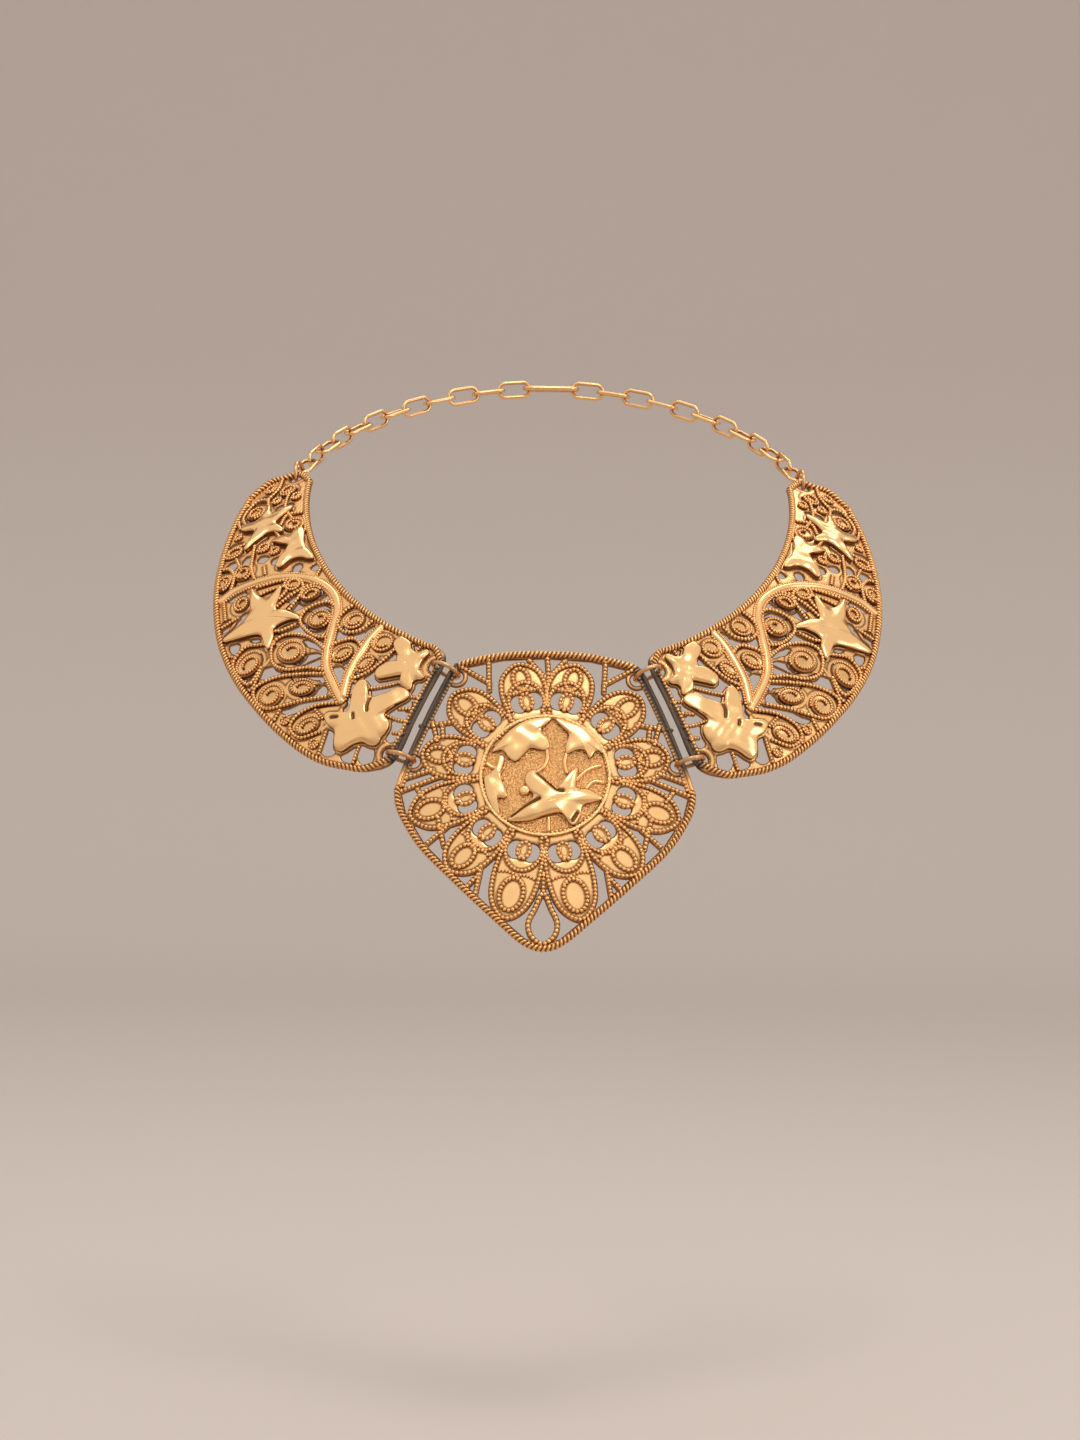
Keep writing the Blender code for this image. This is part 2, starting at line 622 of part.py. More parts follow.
def plate_mesh(name, pattern, bend, mirrored=False):
    """A closed plate: the pattern's relief in front, a plain back, and walls between them."""
    points, lifts, top = pattern.sheet()
    rim = sorted(border_edges(top))
    rim_points = sorted({corner for edge in rim for corner in edge})
    number = {corner: place for place, corner in enumerate(rim_points)}
    flat = [Vector(points[corner]) for corner in rim_points]
    edges = [(number[a], number[b]) for a, b in rim]
    found, _, backs, _, _, _ = delaunay_2d_cdt(flat, edges, [], 0, MERGE / 10, True)
    if len(found) != len(flat):
        raise ValueError(f"{name}: the back's points don't match the front's")
    found = np.array([tuple(point) for point in found])
    middles = np.array([found[list(face)].mean(axis=0) for face in backs])
    backs = [face for face, inside in zip(backs, inside_sheet(middles, points, top)) if inside]
    used = sorted({corner for face in top for corner in face})
    place = {corner: order for order, corner in enumerate(used)}
    front = bend(points[used], lifts[used])
    back = bend(found, np.zeros(len(found)))
    matching = [int(np.argmin(np.abs(found - points[corner]).sum(axis=1))) for corner in rim_points]
    back_place = {corner: len(used) + matching[number[corner]] for corner in rim_points}
    vertices = np.vstack([front, back])
    if mirrored:
        vertices[:, 0] *= -1
    faces = [tuple(place[corner] for corner in face) for face in top]
    faces += [tuple(len(used) + corner for corner in face[::-1]) for face in backs]
    faces += [(place[b], place[a], back_place[a], back_place[b]) for a, b in rim]
    mesh = bpy.data.meshes.new(name)
    mesh.from_pydata([tuple(vertex) for vertex in vertices], [], faces)
    cleaner = bmesh.new()
    cleaner.from_mesh(mesh)
    bmesh.ops.recalc_face_normals(cleaner, faces=cleaner.faces)
    cleaner.to_mesh(mesh)
    cleaner.free()
    return mesh


def add_border(pattern, outline, facing):
    """Rope along a plate's outline, and thinner wire where it faces the next plate."""
    widths = np.where(facing, WIRE_WIDTH, ROPE_WIDTH)
    crests = np.where(facing, WIRE_CREST, ROPE_CREST)
    pattern.wire(set_in(outline, widths / 2), widths, WIRE_EDGE, crests, closed=True)


def centre_share(x, y):
    """Point of the centre plate's flat pattern from its two shares."""
    return np.array([x * CENTRE_HALF_WIDTH, y * CENTRE_DROP])


def centre_outline(inset):
    """Closed outline of the centre plate, set in from its edge."""
    right = [np.array([x * CENTRE_HALF_WIDTH, y * (CENTRE_TOP if y > 0 else CENTRE_DROP)])
             for x, y in CENTRE_OUTLINE]
    left = [point * np.array([-1.0, 1.0]) for point in right[-2:0:-1]]
    return set_in(right + left, inset)


def petal_frame(angle):
    """Outward direction of a petal and the direction across it."""
    out = np.array([math.sin(angle), math.cos(angle)])
    return out, np.array([out[1], -out[0]])


def add_petal(pattern, angle, reach):
    """A petal: beaded border, floor, a small loop between two sickle gaps, an upper loop."""
    out, across = petal_frame(angle)
    length = reach - MEDALLION_RADIUS
    half = PETAL_WIDTH / 2 - WIRE_WIDTH / 2
    one_side = [out * (MEDALLION_RADIUS + along * (length - WIRE_WIDTH / 2)) + across * half * share
                for along, share in PETAL_OUTLINE]
    other_side = [point - 2 * np.dot(point, across) * across for point in one_side[::-1]]
    tip = out * (reach - WIRE_WIDTH / 2)
    path = one_side + [tip] + other_side
    pattern.pad(path, FLOOR_LIFT)
    loop = out * (MEDALLION_RADIUS + SMALL_LOOP_PLACE)
    turns = np.radians([25.0, 65.0, 110.0, 155.0])
    swell = np.sin(np.linspace(0.0, math.pi, len(turns)))
    for side in (-1, 1):
        inner = [loop + SMALL_LOOP_RADIUS * (math.cos(turn) * 1.3 * out + math.sin(turn) * side * across)
                 for turn in turns]
        outer = [loop + (SMALL_LOOP_RADIUS + SICKLE_WIDTH * grow)
                 * (math.cos(turn) * 1.15 * out + math.sin(turn) * side * across)
                 for turn, grow in zip(turns, swell)]
        pattern.gap(inner + outer[-2:0:-1])
    arch_radius = SMALL_LOOP_RADIUS + SICKLE_WIDTH + WIRE_WIDTH / 2
    arch = [loop + arch_radius * (math.cos(turn) * 1.2 * out + math.sin(turn) * across)
            for turn in np.radians([-75.0, -38.0, 0.0, 38.0, 75.0])]
    pattern.strip(arch, WIRE_WIDTH, WIRE_LIFT)
    pattern.wire(path, WIRE_WIDTH, WIRE_EDGE, WIRE_CREST)
    pattern.cup(loop, SMALL_LOOP_RADIUS, 1.3, out, 6)
    upper = out * (MEDALLION_RADIUS + 0.68 * length)
    pattern.cup(upper, UPPER_LOOP_RADIUS, 1.25, out, 6)


def add_medallion(pattern):
    """The round middle: ground, rim and raised leaves."""
    turns = np.linspace(0.0, 2 * math.pi, 24, endpoint=False)
    circle = np.stack([np.sin(turns), np.cos(turns)], 1)
    pattern.pad(circle * MEDALLION_RADIUS, MEDALLION_LIFT)
    pattern.wire(circle * (MEDALLION_RADIUS - WIRE_WIDTH / 2), WIRE_WIDTH, MEDALLION_LIFT,
                 MEDALLION_RIM, closed=True)
    for outline in MEDALLION_LEAVES.values():
        pattern.leaf(np.array(outline) * MEDALLION_RADIUS, LEAF_SLOPE, MEDALLION_LIFT, LEAF_EDGE)
    star = MEDALLION_STAR
    pattern.star(np.array(star["middle"]) * MEDALLION_RADIUS,
                 [np.array(tip) * MEDALLION_RADIUS for tip in star["tips"]],
                 star["arm"] * MEDALLION_RADIUS, MEDALLION_LIFT)


def centre_holes():
    """Middles of the two holes for jump rings at the right of the centre plate."""
    half = {}
    for name, low, high, share in (("upper", 3, 4, 0.04), ("lower", 4, 5, 0.94)):
        start, end = (centre_outline(HOLE_INSET[name])[row] for row in (low, high))
        half[name] = start + (end - start) * share
    return half


def centre_pattern():
    """Flat pattern of the centre plate."""
    pattern = FlatPattern(centre_outline(0.0))
    struts = [[centre_share(*row[:2]), centre_share(*row[2:])] for row in STRUTS]
    struts += [[point * np.array([-1.0, 1.0]) for point in strut] for strut in struts]
    struts.append([centre_share(*point) for point in MIDDLE_STRUT])
    for strut in struts:
        pattern.strip(strut, WIRE_WIDTH, WIRE_LIFT)
    drop_top = centre_share(0.0, -0.672)
    drop_end = centre_share(0.0, -0.955)
    drop_half = np.array([DROP_WIDTH / 2, 0.0])
    drop_side = [drop_top + (drop_end - drop_top) * along + drop_half * share
                 for along, share in ((0.30, 0.55), (0.58, 1.0), (0.84, 0.80))]
    drop = [drop_top, *drop_side, drop_end,
            *[point * np.array([-1.0, 1.0]) for point in drop_side[::-1]]]
    for angle, reach in PETALS:
        for side in (-1, 1):
            add_petal(pattern, side * math.radians(angle), reach * MEDALLION_RADIUS)
    pattern.wire(drop, WIRE_WIDTH, WIRE_EDGE, WIRE_CREST, closed=True)
    pattern.strip([drop_top, centre_share(0.0, -0.560)], WIRE_WIDTH, WIRE_LIFT)
    add_medallion(pattern)
    outline = centre_outline(0.0)
    facing = (outline[:, 1] > 0.0) & (np.abs(outline[:, 0]) > 0.6 * CENTRE_HALF_WIDTH)
    add_border(pattern, outline, facing)
    return pattern


def side_outline(inset):
    """Closed outline of a side plate's flat pattern with rounded corners, set in from its edge."""
    length = SIDE_TURN * SIDE_FLAT_RADIUS
    low = inset / length
    high = 1.0 - low
    corner = (CORNER_RADIUS + inset) / length
    shares = np.concatenate([[low + corner], np.linspace(0.08, 0.94, 22), [high - corner]])
    inner = [(share, inset / side_width(share)) for share in shares]
    outer = [(share, 1.0 - inset / side_width(share)) for share in shares[::-1]]
    front = CORNER_RADIUS + inset
    rows = inner[:]
    for share, order in ((high, 1), (low, -1)):
        width = float(side_width(share))
        ends = [front / width, 0.5, 1.0 - front / width][::order]
        rows += [(share, across) for across in ends]
        rows += outer if order == 1 else []
    return np.array([side_flat(along, across) for along, across in rows])


def side_holes():
    """Middles of a side plate's three holes, in its flat pattern."""
    length = SIDE_TURN * SIDE_FLAT_RADIUS
    along = {name: inset / length for name, inset in HOLE_INSET.items()}
    along["rear"] = 1.0 - along["rear"]
    return {name: side_flat(along[name], across) for name, across in SIDE_HOLES.items()}


def side_pattern():
    """Flat pattern of a side plate."""
    pattern = FlatPattern(side_outline(0.0))
    for outline in FLOORS:
        pattern.pad([side_flat(along, across) for along, across in outline], WIRE_LIFT)
    tailed = {cup[:2] for cup in TAILED_CUPS}
    for along, across, radius, stretch, tail_along, tail_across in CUPS + TAILED_CUPS:
        middle = side_flat(along, across)
        tail = side_flat(tail_along, tail_across)
        direction = (tail - middle) / float(np.linalg.norm(tail - middle))
        if (along, across) in tailed:
            rim = middle + direction * radius * stretch * 0.9
            pattern.strip([rim, tail], WIRE_WIDTH, WIRE_LIFT)
        pattern.cup(middle, radius, stretch, direction, 8 if radius > 0.0035 else 6)
    for path in BRANCHES.values():
        places = [side_flat(along, across) for along, across in path]
        pattern.strip(smooth_path(places, STEP), WIRE_WIDTH, WIRE_LIFT)
    for path in STEMS:
        places = [side_flat(along, across) for along, across in path]
        pattern.wire(smooth_path(places, STEP), STEM_WIDTH, WIRE_EDGE, STEM_CREST)
    for star in SIDE_STARS:
        pattern.star(side_flat(*star["middle"]), [side_flat(*tip) for tip in star["tips"]],
                     star["arm"], WIRE_EDGE)
    outline = side_outline(0.0)
    add_border(pattern, outline, np.arange(len(outline)) >= len(outline) - 3)
    return pattern


def make_plates(collection, material):
    """The three cast plates."""
    centre = centre_pattern()
    side = side_pattern()
    for middle in centre_holes().values():
        for place in (middle, middle * np.array([-1.0, 1.0])):
            centre.eye(place, RING_HOLE, WIRE_WIDTH, WIRE_EDGE)
    for middle in side_holes().values():
        side.eye(middle, RING_HOLE, WIRE_WIDTH, WIRE_EDGE)
    jobs = (("centre_panel", centre, centre_bend, False),
            ("right_collar_panel", side, side_bend, False),
            ("left_collar_panel", side, side_bend, True))
    for name, pattern, bend, mirrored in jobs:
        mesh = plate_mesh(name, pattern, bend, mirrored)
        item = bpy.data.objects.new(name, mesh)
        collection.objects.link(item)
        finish_object(item, name, collection, material)


def surface_frame(bend, point, lift):
    """Place and outward normal over a point of a flat pattern."""
    nudge = 0.0002
    around = np.array([point, point + (nudge, 0.0), point + (0.0, nudge)])
    here, right, up = bend(around, np.full(3, lift))
    normal = np.cross(right - here, up - here)
    outward = bend(around[:1], np.array([lift + nudge]))[0] - here
    normal *= math.copysign(1.0, float(np.dot(normal, outward)))
    return here, normal / np.linalg.norm(normal)


def oval_ring(name, radius, straight, wire, place, long_way, across_way, collection, material):
    """A ring of round wire, drawn out along its long way by a straight."""
    bpy.ops.mesh.primitive_torus_add(
        major_segments=RING_SIDES, minor_segments=WIRE_SIDES, major_radius=radius,
        minor_radius=wire / 2)
    item = bpy.context.object
    for vertex in item.data.vertices:
        vertex.co.x += math.copysign(straight / 2, vertex.co.x)
    long_way = Vector(long_way).normalized()
    normal = long_way.cross(Vector(across_way)).normalized()
    turn = Matrix((long_way, normal.cross(long_way), normal)).transposed()
    item.matrix_world = Matrix.Translation(Vector(place)) @ turn.to_4x4()
    return finish_object(item, name, collection, material)


def make_panel_rings(collection, material):
    """The four jump rings between the centre plate and the side plates."""
    lift = FLOOR_LIFT / 2
    for name in ("upper", "lower"):
        near, near_normal = surface_frame(centre_bend, centre_holes()[name], lift)
        far, far_normal = surface_frame(side_bend, side_holes()[name], lift)
        apart = far - near
        normal = near_normal + far_normal
        normal -= apart * np.dot(normal, apart) / np.dot(apart, apart)
        normal /= np.linalg.norm(normal)
        rise = math.sqrt(max(RING_RADIUS ** 2 - np.dot(apart, apart) / 4, 0.0))
        place = (near + far) / 2 + normal * rise
        for side, factor in (("right", 1.0), ("left", -1.0)):
            mirror = np.array([factor, 1.0, 1.0])
            oval_ring(f"panel_ring_{side}_{name}", RING_RADIUS, 0.0, RING_WIRE, place * mirror,
                      apart * mirror, normal * mirror, collection, material)


def chain_route():
    """Points from the right side plate's rear hole round to the middle of the back."""
    start, normal = surface_frame(side_bend, side_holes()["rear"], FLOOR_LIFT / 2)
    angle = math.atan2(start[0] / NECK_HALF_WIDTH, -start[1] / NECK_HALF_DEPTH)
    reach = start[0] / (NECK_HALF_WIDTH * math.sin(angle))
    shares = np.linspace(0.0, 1.0, 200)
    turns = angle + (math.pi - angle) * shares
    spread = reach + (1.0 - reach) * shares
    rise = start[2] + (BACK_RISE - start[2]) * np.sin(shares * math.pi / 2)
    return np.stack([NECK_HALF_WIDTH * spread * np.sin(turns),
                     -NECK_HALF_DEPTH * spread * np.cos(turns), rise], -1), normal


def along_route(route, distance):
    """Point of a route at a distance along it, and the route's direction there."""
    steps = np.linalg.norm(np.diff(route, axis=0), axis=1)
    lengths = np.concatenate([[0.0], np.cumsum(steps)])
    nudge = 0.001
    point, ahead = (np.array([np.interp(distance + extra, lengths, route[:, axis])
                              for axis in range(3)]) for extra in (0.0, nudge))
    if distance + nudge > lengths[-1]:
        ahead = point + route[-1] - route[-2]
    direction = ahead - point
    return point, direction / np.linalg.norm(direction)


def make_chain(collection, material):
    """End rings, links and clasp of the rear stretch."""
    route, plate_normal = chain_route()
    total = float(np.linalg.norm(np.diff(route, axis=0), axis=1).sum())
    link_half = LINK_STRAIGHT / 2 + LINK_RADIUS
    clasp_half = CLASP_STRAIGHT / 2 + CLASP_RADIUS
    first = 2 * RING_RADIUS - (RING_WIRE + LINK_WIRE) / 2 - LINK_CLEARANCE + link_half
    last = total - clasp_half + (CLASP_WIRE + LINK_WIRE) / 2 + LINK_CLEARANCE - link_half
    pitch = 2 * link_half - LINK_WIRE - LINK_CLEARANCE
    count = max(2, math.ceil((last - first) / pitch - 0.05) + 1)
    spacing = (last - first) / (count - 1)
    sides = (("right", 1.0), ("left", -1.0))
    place, direction = along_route(route, RING_RADIUS)
    for side, factor in sides:
        mirror = np.array([factor, 1.0, 1.0])
        oval_ring(f"end_ring_{side}", RING_RADIUS, 0.0, RING_WIRE, place * mirror,
                  direction * mirror, plate_normal * mirror, collection, material)
    for number in range(count):
        place, direction = along_route(route, first + number * spacing)
        outward = place * np.array([1.0, 1.0, 0.0])
        outward /= np.linalg.norm(outward)
        upward = np.cross(outward, direction)
        flat_way = outward if number % 2 == 0 else upward
        for side, factor in sides:
            mirror = np.array([factor, 1.0, 1.0])
            oval_ring(f"chain_{side}_{number + 1:02d}", LINK_RADIUS, LINK_STRAIGHT, LINK_WIRE,
                      place * mirror, direction * mirror, flat_way * mirror, collection, material)
    clasp_way = (0.0, 1.0, 0.0) if count % 2 == 0 else (0.0, 0.0, 1.0)
    oval_ring("hook_clasp", CLASP_RADIUS, CLASP_STRAIGHT, CLASP_WIRE, route[-1],
              (1.0, 0.0, 0.0), clasp_way, collection, material)


clear_scene()
parts = new_collection(NECKLACE)
polished_gold = gold_material("polished_gold", (0.80, 0.50, 0.16), 0.22)
coppery_gold = gold_material("coppery_gold", (0.66, 0.36, 0.16), 0.32)
make_plates(parts, polished_gold)
make_panel_rings(parts, coppery_gold)
make_chain(parts, polished_gold)
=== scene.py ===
import math

import bpy
import numpy as np
from mathutils import Euler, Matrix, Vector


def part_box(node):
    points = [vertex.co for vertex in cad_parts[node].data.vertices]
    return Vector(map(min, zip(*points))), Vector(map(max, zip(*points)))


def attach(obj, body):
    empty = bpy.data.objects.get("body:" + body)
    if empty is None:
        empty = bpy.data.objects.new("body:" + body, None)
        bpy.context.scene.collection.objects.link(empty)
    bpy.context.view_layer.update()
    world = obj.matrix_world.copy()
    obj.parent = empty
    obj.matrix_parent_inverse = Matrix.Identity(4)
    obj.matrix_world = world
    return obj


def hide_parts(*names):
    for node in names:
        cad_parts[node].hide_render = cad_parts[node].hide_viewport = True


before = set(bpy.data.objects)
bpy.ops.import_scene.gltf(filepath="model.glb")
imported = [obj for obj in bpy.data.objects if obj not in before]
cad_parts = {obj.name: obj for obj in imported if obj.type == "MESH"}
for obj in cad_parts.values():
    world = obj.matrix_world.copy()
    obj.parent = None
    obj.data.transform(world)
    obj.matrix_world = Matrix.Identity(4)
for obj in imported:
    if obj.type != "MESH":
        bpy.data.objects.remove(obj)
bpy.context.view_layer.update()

print("necklace: frame loaded")

# Camera at the photograph's distance and height, and the pale studio round the necklace
studio = {
    "cameraPlace": (-0.0016, -0.899, -0.068),
    "cameraRoll": -1.0,  # degrees about the line of sight
    "lens": 78.6,
    "floorHeight": -0.26,
    "wallPlace": 1.8,
    "wallBend": 0.50,
    "wallTop": 3.0,
    "floorFront": -2.0,
    "halfWidth": 3.0,
    "linen": (0.62, 0.53, 0.47),
    "worldStrength": 0.90,
    "worldBelow": (0.35, (0.20, 0.15, 0.12)),  # place in the sweep from below to above, and colour
    "worldAbove": (0.72, (1.0, 1.0, 1.0)),
}
# Lamps: name, place, aim, width and height, watts, colour
lampRows = [
    ("key", (0.10, -0.70, 1.05), (0.0, -0.05, -0.06), (0.40, 0.30), 3.4, (1.0, 0.98, 0.95)),
    ("fill", (0.75, -0.60, 0.25), (0.0, -0.05, -0.06), (0.30, 0.50), 1.4, (0.95, 0.97, 1.0)),
    ("rear", (0.1, 0.35, 0.7), (0.0, 0.0, 0.0), (0.6, 0.3), 1.5, (1.0, 0.98, 0.95)),
]

# The collar's shape, with the same sizes as its solids, in metres and degrees
collar = {
    "neckHalfWidth": 0.068,
    "neckHalfDepth": 0.070,
    "tilt": 35.0,
    "frontDrop": 0.054,
    "sideWidth": 0.0433,
    "sideBulge": 0.0015,
    "centreHalfWidth": 0.0396,
    "centreTop": 0.0356,
    "centreDrop": 0.0484,
    "centreTilt": 23.0,
    "centreCurve": 0.190,
    "centrePlace": (0.0, -0.0795, -0.0829),
    "cornerRadius": 0.0035,
}
# Side plate, front end to rear end: place along, angle round the neck, width as a share,
# and the slope and heading of its width
sideRows = np.array([
    (0.000, 21.5, 0.855, 60.5, 56.7),
    (0.134, 31.2, 1.000, 51.4, 66.0),
    (0.225, 39.0, 0.988, 47.0, 69.5),
    (0.310, 45.5, 0.958, 42.0, 73.0),
    (0.395, 52.2, 0.924, 38.5, 76.0),
    (0.488, 59.8, 0.871, 35.0, 78.0),
    (0.617, 69.5, 0.758, 28.8, 81.0),
    (0.786, 81.5, 0.600, 22.5, 85.0),
    (1.000, 98.5, 0.402, 16.0, 92.0),
])
nudge = 0.0001


def unit(vectors):
    # vectors of length one
    return vectors / np.maximum(np.linalg.norm(vectors, axis=-1, keepdims=True), 1e-12)


def turns(count):
    # even angles round a full turn
    return np.linspace(0.0, 2 * math.pi, count, endpoint=False)


def looped(outline):
    # a closed outline as a path that ends where it starts
    return np.vstack([outline, outline[:1]])


def sideColumn(along, number):
    # a column of the rows, by cubic pieces with matching slopes
    places = sideRows[:, 0]
    values = sideRows[:, number]
    slopes = np.gradient(values, places)
    row = np.clip(np.searchsorted(places, along) - 1, 0, len(places) - 2)
    span = places[row + 1] - places[row]
    t = (along - places[row]) / span
    return ((2 * t ** 3 - 3 * t ** 2 + 1) * values[row] + (t ** 3 - 2 * t ** 2 + t) * span * slopes[row]
            + (3 * t ** 2 - 2 * t ** 3) * values[row + 1] + (t ** 3 - t ** 2) * span * slopes[row + 1])


def sideWidth(along):
    # the width's share, by the widest width
    return sideColumn(np.asarray(along, dtype=float), 2) * collar["sideWidth"]


def sideSheet(along, across):
    # neck edge on an ellipse that rises to the back, and straight lines sloping out from it
    angle, slope, heading = (np.radians(sideColumn(along, number)) for number in (1, 3, 4))
    rise = collar["neckHalfDepth"] * (1 - np.cos(angle)) * math.tan(math.radians(collar["tilt"]))
    edge = np.stack([collar["neckHalfWidth"] * np.sin(angle), -collar["neckHalfDepth"] * np.cos(angle),
                     rise - collar["frontDrop"]], -1)
    down = np.stack([np.sin(heading) * np.cos(slope), -np.cos(heading) * np.cos(slope),
                     -np.sin(slope)], -1)
    return edge + down * (across * sideWidth(along))[..., None]


def sideMeasures():
    # turn of the flat pattern and radius of its inner edge, from the two edges' lengths
    shares = np.linspace(0.0, 1.0, 200)
    inner, outer = (np.linalg.norm(np.diff(sideSheet(shares, np.full(200, across)), axis=0), axis=1).sum()
                    for across in (0.0, 1.0))
    turn = (outer - inner) / sideWidth(shares).mean()
    return turn, inner / turn


sideTurn, sideRadius = sideMeasures()
sideLength = sideTurn * sideRadius


def sideFlat(along, across):
    # two shares laid out flat, as a stretch of a ring
    angle = np.asarray(along, dtype=float) * sideTurn
    radius = sideRadius + np.asarray(across, dtype=float) * sideWidth(along)
    return np.stack([radius * np.sin(angle), radius * np.cos(angle)], -1)


def sideShares(points):
    # the two shares of flat points
    along = np.arctan2(points[..., 0], points[..., 1]) / sideTurn
    across = (np.hypot(points[..., 0], points[..., 1]) - sideRadius) / sideWidth(along)
    return along, across


def sideBend(points, lift):
    # flat points on the right side plate, lifted off its bulging back along its normal
    along, across = sideShares(points)
    step = 0.001
    forward = sideSheet(along + step, across) - sideSheet(along - step, across)
    outward = sideSheet(along, across + step) - sideSheet(along, across - step)
    normal = unit(np.cross(outward, forward))
    bulge = collar["sideBulge"] * 4 * across * (1 - across) * sideWidth(along) / collar["sideWidth"]
    return sideSheet(along, across) + normal * (bulge + lift)[..., None]


def centreBend(points, lift):
    # flat points on an upright drum, tipped to the centre plate's tilt
    tilt = math.radians(collar["centreTilt"])
    angle = points[..., 0] / collar["centreCurve"]
    reach = collar["centreCurve"] + lift
    sideways = reach * np.sin(angle)
    forward = reach * np.cos(angle) - collar["centreCurve"]
    down = np.array([0.0, -math.sin(tilt), -math.cos(tilt)])
    out = np.array([0.0, -math.cos(tilt), math.sin(tilt)])
    return (np.array(collar["centrePlace"]) + sideways[..., None] * np.array([1.0, 0.0, 0.0])
            - points[..., 1][..., None] * down + forward[..., None] * out)


def gridFaces(rows, columns, wrapRows=False, wrapColumns=True):
    # four-sided faces of a grid of points held row by row
    row = np.arange(rows if wrapRows else rows - 1)[:, None]
    column = np.arange(columns if wrapColumns else columns - 1)[None, :]
    nextRow = (row + 1) % rows
    nextColumn = (column + 1) % columns
    return np.stack([row * columns + column, nextRow * columns + column,
                     nextRow * columns + nextColumn, row * columns + nextColumn], -1).reshape(-1, 4)


def surface(points, quads, tris=None, paintedShade=0.0, polish=0.0):
    # a closed surface turned to face outwards, with the painted shade and the polish of each point
    tris = np.zeros((0, 3), dtype=int) if tris is None else tris
    fans = np.vstack([quads[:, [0, 1, 2]], quads[:, [0, 2, 3]], tris])
    a, b, c = (points[fans[:, corner]] - points[0] for corner in range(3))
    if np.einsum("ij,ij->i", a, np.cross(b, c)).sum() < 0:
        quads = quads[:, ::-1]
        tris = tris[:, ::-1]
    count = len(points)
    return {"points": points, "quads": quads, "tris": tris,
            "paintedShade": np.broadcast_to(paintedShade, count).astype(float),
            "polish": np.broadcast_to(polish, count).astype(float)}


def poleFaces(ring, pole):
    # a fan between a closed ring of points and one point
    return np.stack([ring, np.roll(ring, -1), np.full(len(ring), pole)], -1)


def smoothPath(given, step, closed=False):
    # an even path on a Catmull-Rom curve through the given points
    given = np.asarray(given, dtype=float)
    before = given[-1:] if closed else 2 * given[:1] - given[1:2]
    after = given[:2] if closed else 2 * given[-1:] - given[-2:-1]
    padded = np.vstack([before, given, after])
    share = np.linspace(0.0, 1.0, 14, endpoint=False)[None, :, None]
    p, q, r, s = (padded[start:len(padded) - 3 + start][:, None, :] for start in range(4))
    curve = 0.5 * (2 * q + (r - p) * share + (2 * p - 5 * q + 4 * r - s) * share ** 2
                   + (3 * q - p - 3 * r + s) * share ** 3)
    curve = np.vstack([curve.reshape(-1, given.shape[1]), padded[-2:-1]])
    lengths = np.concatenate([[0.0], np.cumsum(np.linalg.norm(np.diff(curve, axis=0), axis=1))])
    count = max(4, round(lengths[-1] / step))
    places = np.linspace(0.0, lengths[-1], count if closed else count + 1, endpoint=not closed)
    return np.stack([np.interp(places, lengths, curve[:, axis]) for axis in range(given.shape[1])], -1)


def pathLength(path, closed=False):
    # distance along a path at each of its points, and its whole length
    ahead = np.roll(path, -1, axis=0) if closed else path[1:]
    steps = np.linalg.norm(ahead - (path if closed else path[:-1]), axis=1)
    return np.concatenate([[0.0], np.cumsum(steps)])[:len(path)], float(steps.sum())


def directions(path, closed):
    # unit steps ahead at the points of a path
    if closed:
        return unit(np.roll(path, -1, axis=0) - np.roll(path, 1, axis=0))
    return unit(np.gradient(path, axis=0))


def offsetPath(path, distance, closed=False):
    # a path moved sideways, to its left where the distance is positive
    ahead = directions(path, closed)
    return path + distance * np.stack([-ahead[:, 1], ahead[:, 0]], -1)


def spread(values, shape):
    # one value for all, one for each row or one for each point, as one for each point
    values = np.asarray(values, dtype=float)
    return np.broadcast_to(values[:, None] if values.ndim == 1 else values, shape)


def tube(bend, path, lift, radius, sides, closed=False, groove=0.0, flat=1.0, polish=0.0):
    # a round section carried along a path on a plate: centre + radius * (cos sideways + sin up)
    lift = np.full(len(path), lift)
    centre = bend(path, lift)
    ahead = directions(centre, closed)
    sideways = unit(np.cross(ahead, unit(bend(path, lift + nudge) - centre)))
    up = np.cross(sideways, ahead)
    turn = turns(sides)
    shape = (len(path), sides)
    radius = spread(radius, shape)
    ring = (np.cos(turn)[None, :, None] * sideways[:, None, :]
            + np.sin(turn)[None, :, None] * up[:, None, :] * flat)
    points = (centre[:, None, :] + radius[..., None] * ring).reshape(-1, 3)
    # painted shade in the grooves given and on the lower side of the wire, and some on the end caps
    paintedShade = np.clip(spread(groove, shape) + 0.75 * np.clip(0.15 - np.sin(turn), 0.0, 1.0), 0.0, 1.0)
    quads = gridFaces(len(path), sides, wrapRows=closed)
    if closed:
        return surface(points, quads, None, paintedShade.ravel(), polish)
    ends = centre[[0, -1]] + ahead[[0, -1]] * radius[[0, -1], :1] * np.array([[-0.5], [0.5]])
    last = (len(path) - 1) * sides
    tris = np.vstack([poleFaces(np.arange(sides), len(points)),
                      poleFaces(np.arange(sides) + last, len(points) + 1)[:, ::-1]])
    return surface(np.vstack([points, ends]), quads, tris, np.append(paintedShade, [0.4, 0.4]), polish)


# Beaded wire: a fine wire pressed into a row of grains
bead = {"radius": 0.00060, "pitch": 1.80, "steps": 6, "waist": 0.38, "sides": 8}


def beadedWire(bend, given, lift, closed=False, radius=bead["radius"]):
    # radius swells and narrows once for each grain, as the root of a sine; grains are as long
    # as the pitch times the radius
    grain = bead["pitch"] * radius
    path = smoothPath(given, grain / bead["steps"], closed)
    places, total = pathLength(path, closed)
    pitch = total / max(1, round(total / grain))
    swell = np.sqrt(np.abs(np.sin(math.pi * places / pitch)))
    # painted shade in the waists between grains
    return tube(bend, path, lift, radius * (bead["waist"] + (1 - bead["waist"]) * swell),
                bead["sides"], closed, groove=1.1 * (1 - swell))


# Rope border: two strands laid round each other
rope = {"radius": 0.00100, "lay": 0.0023, "steps": 12, "sides": 16, "depth": 0.46, "lift": 0.00110}


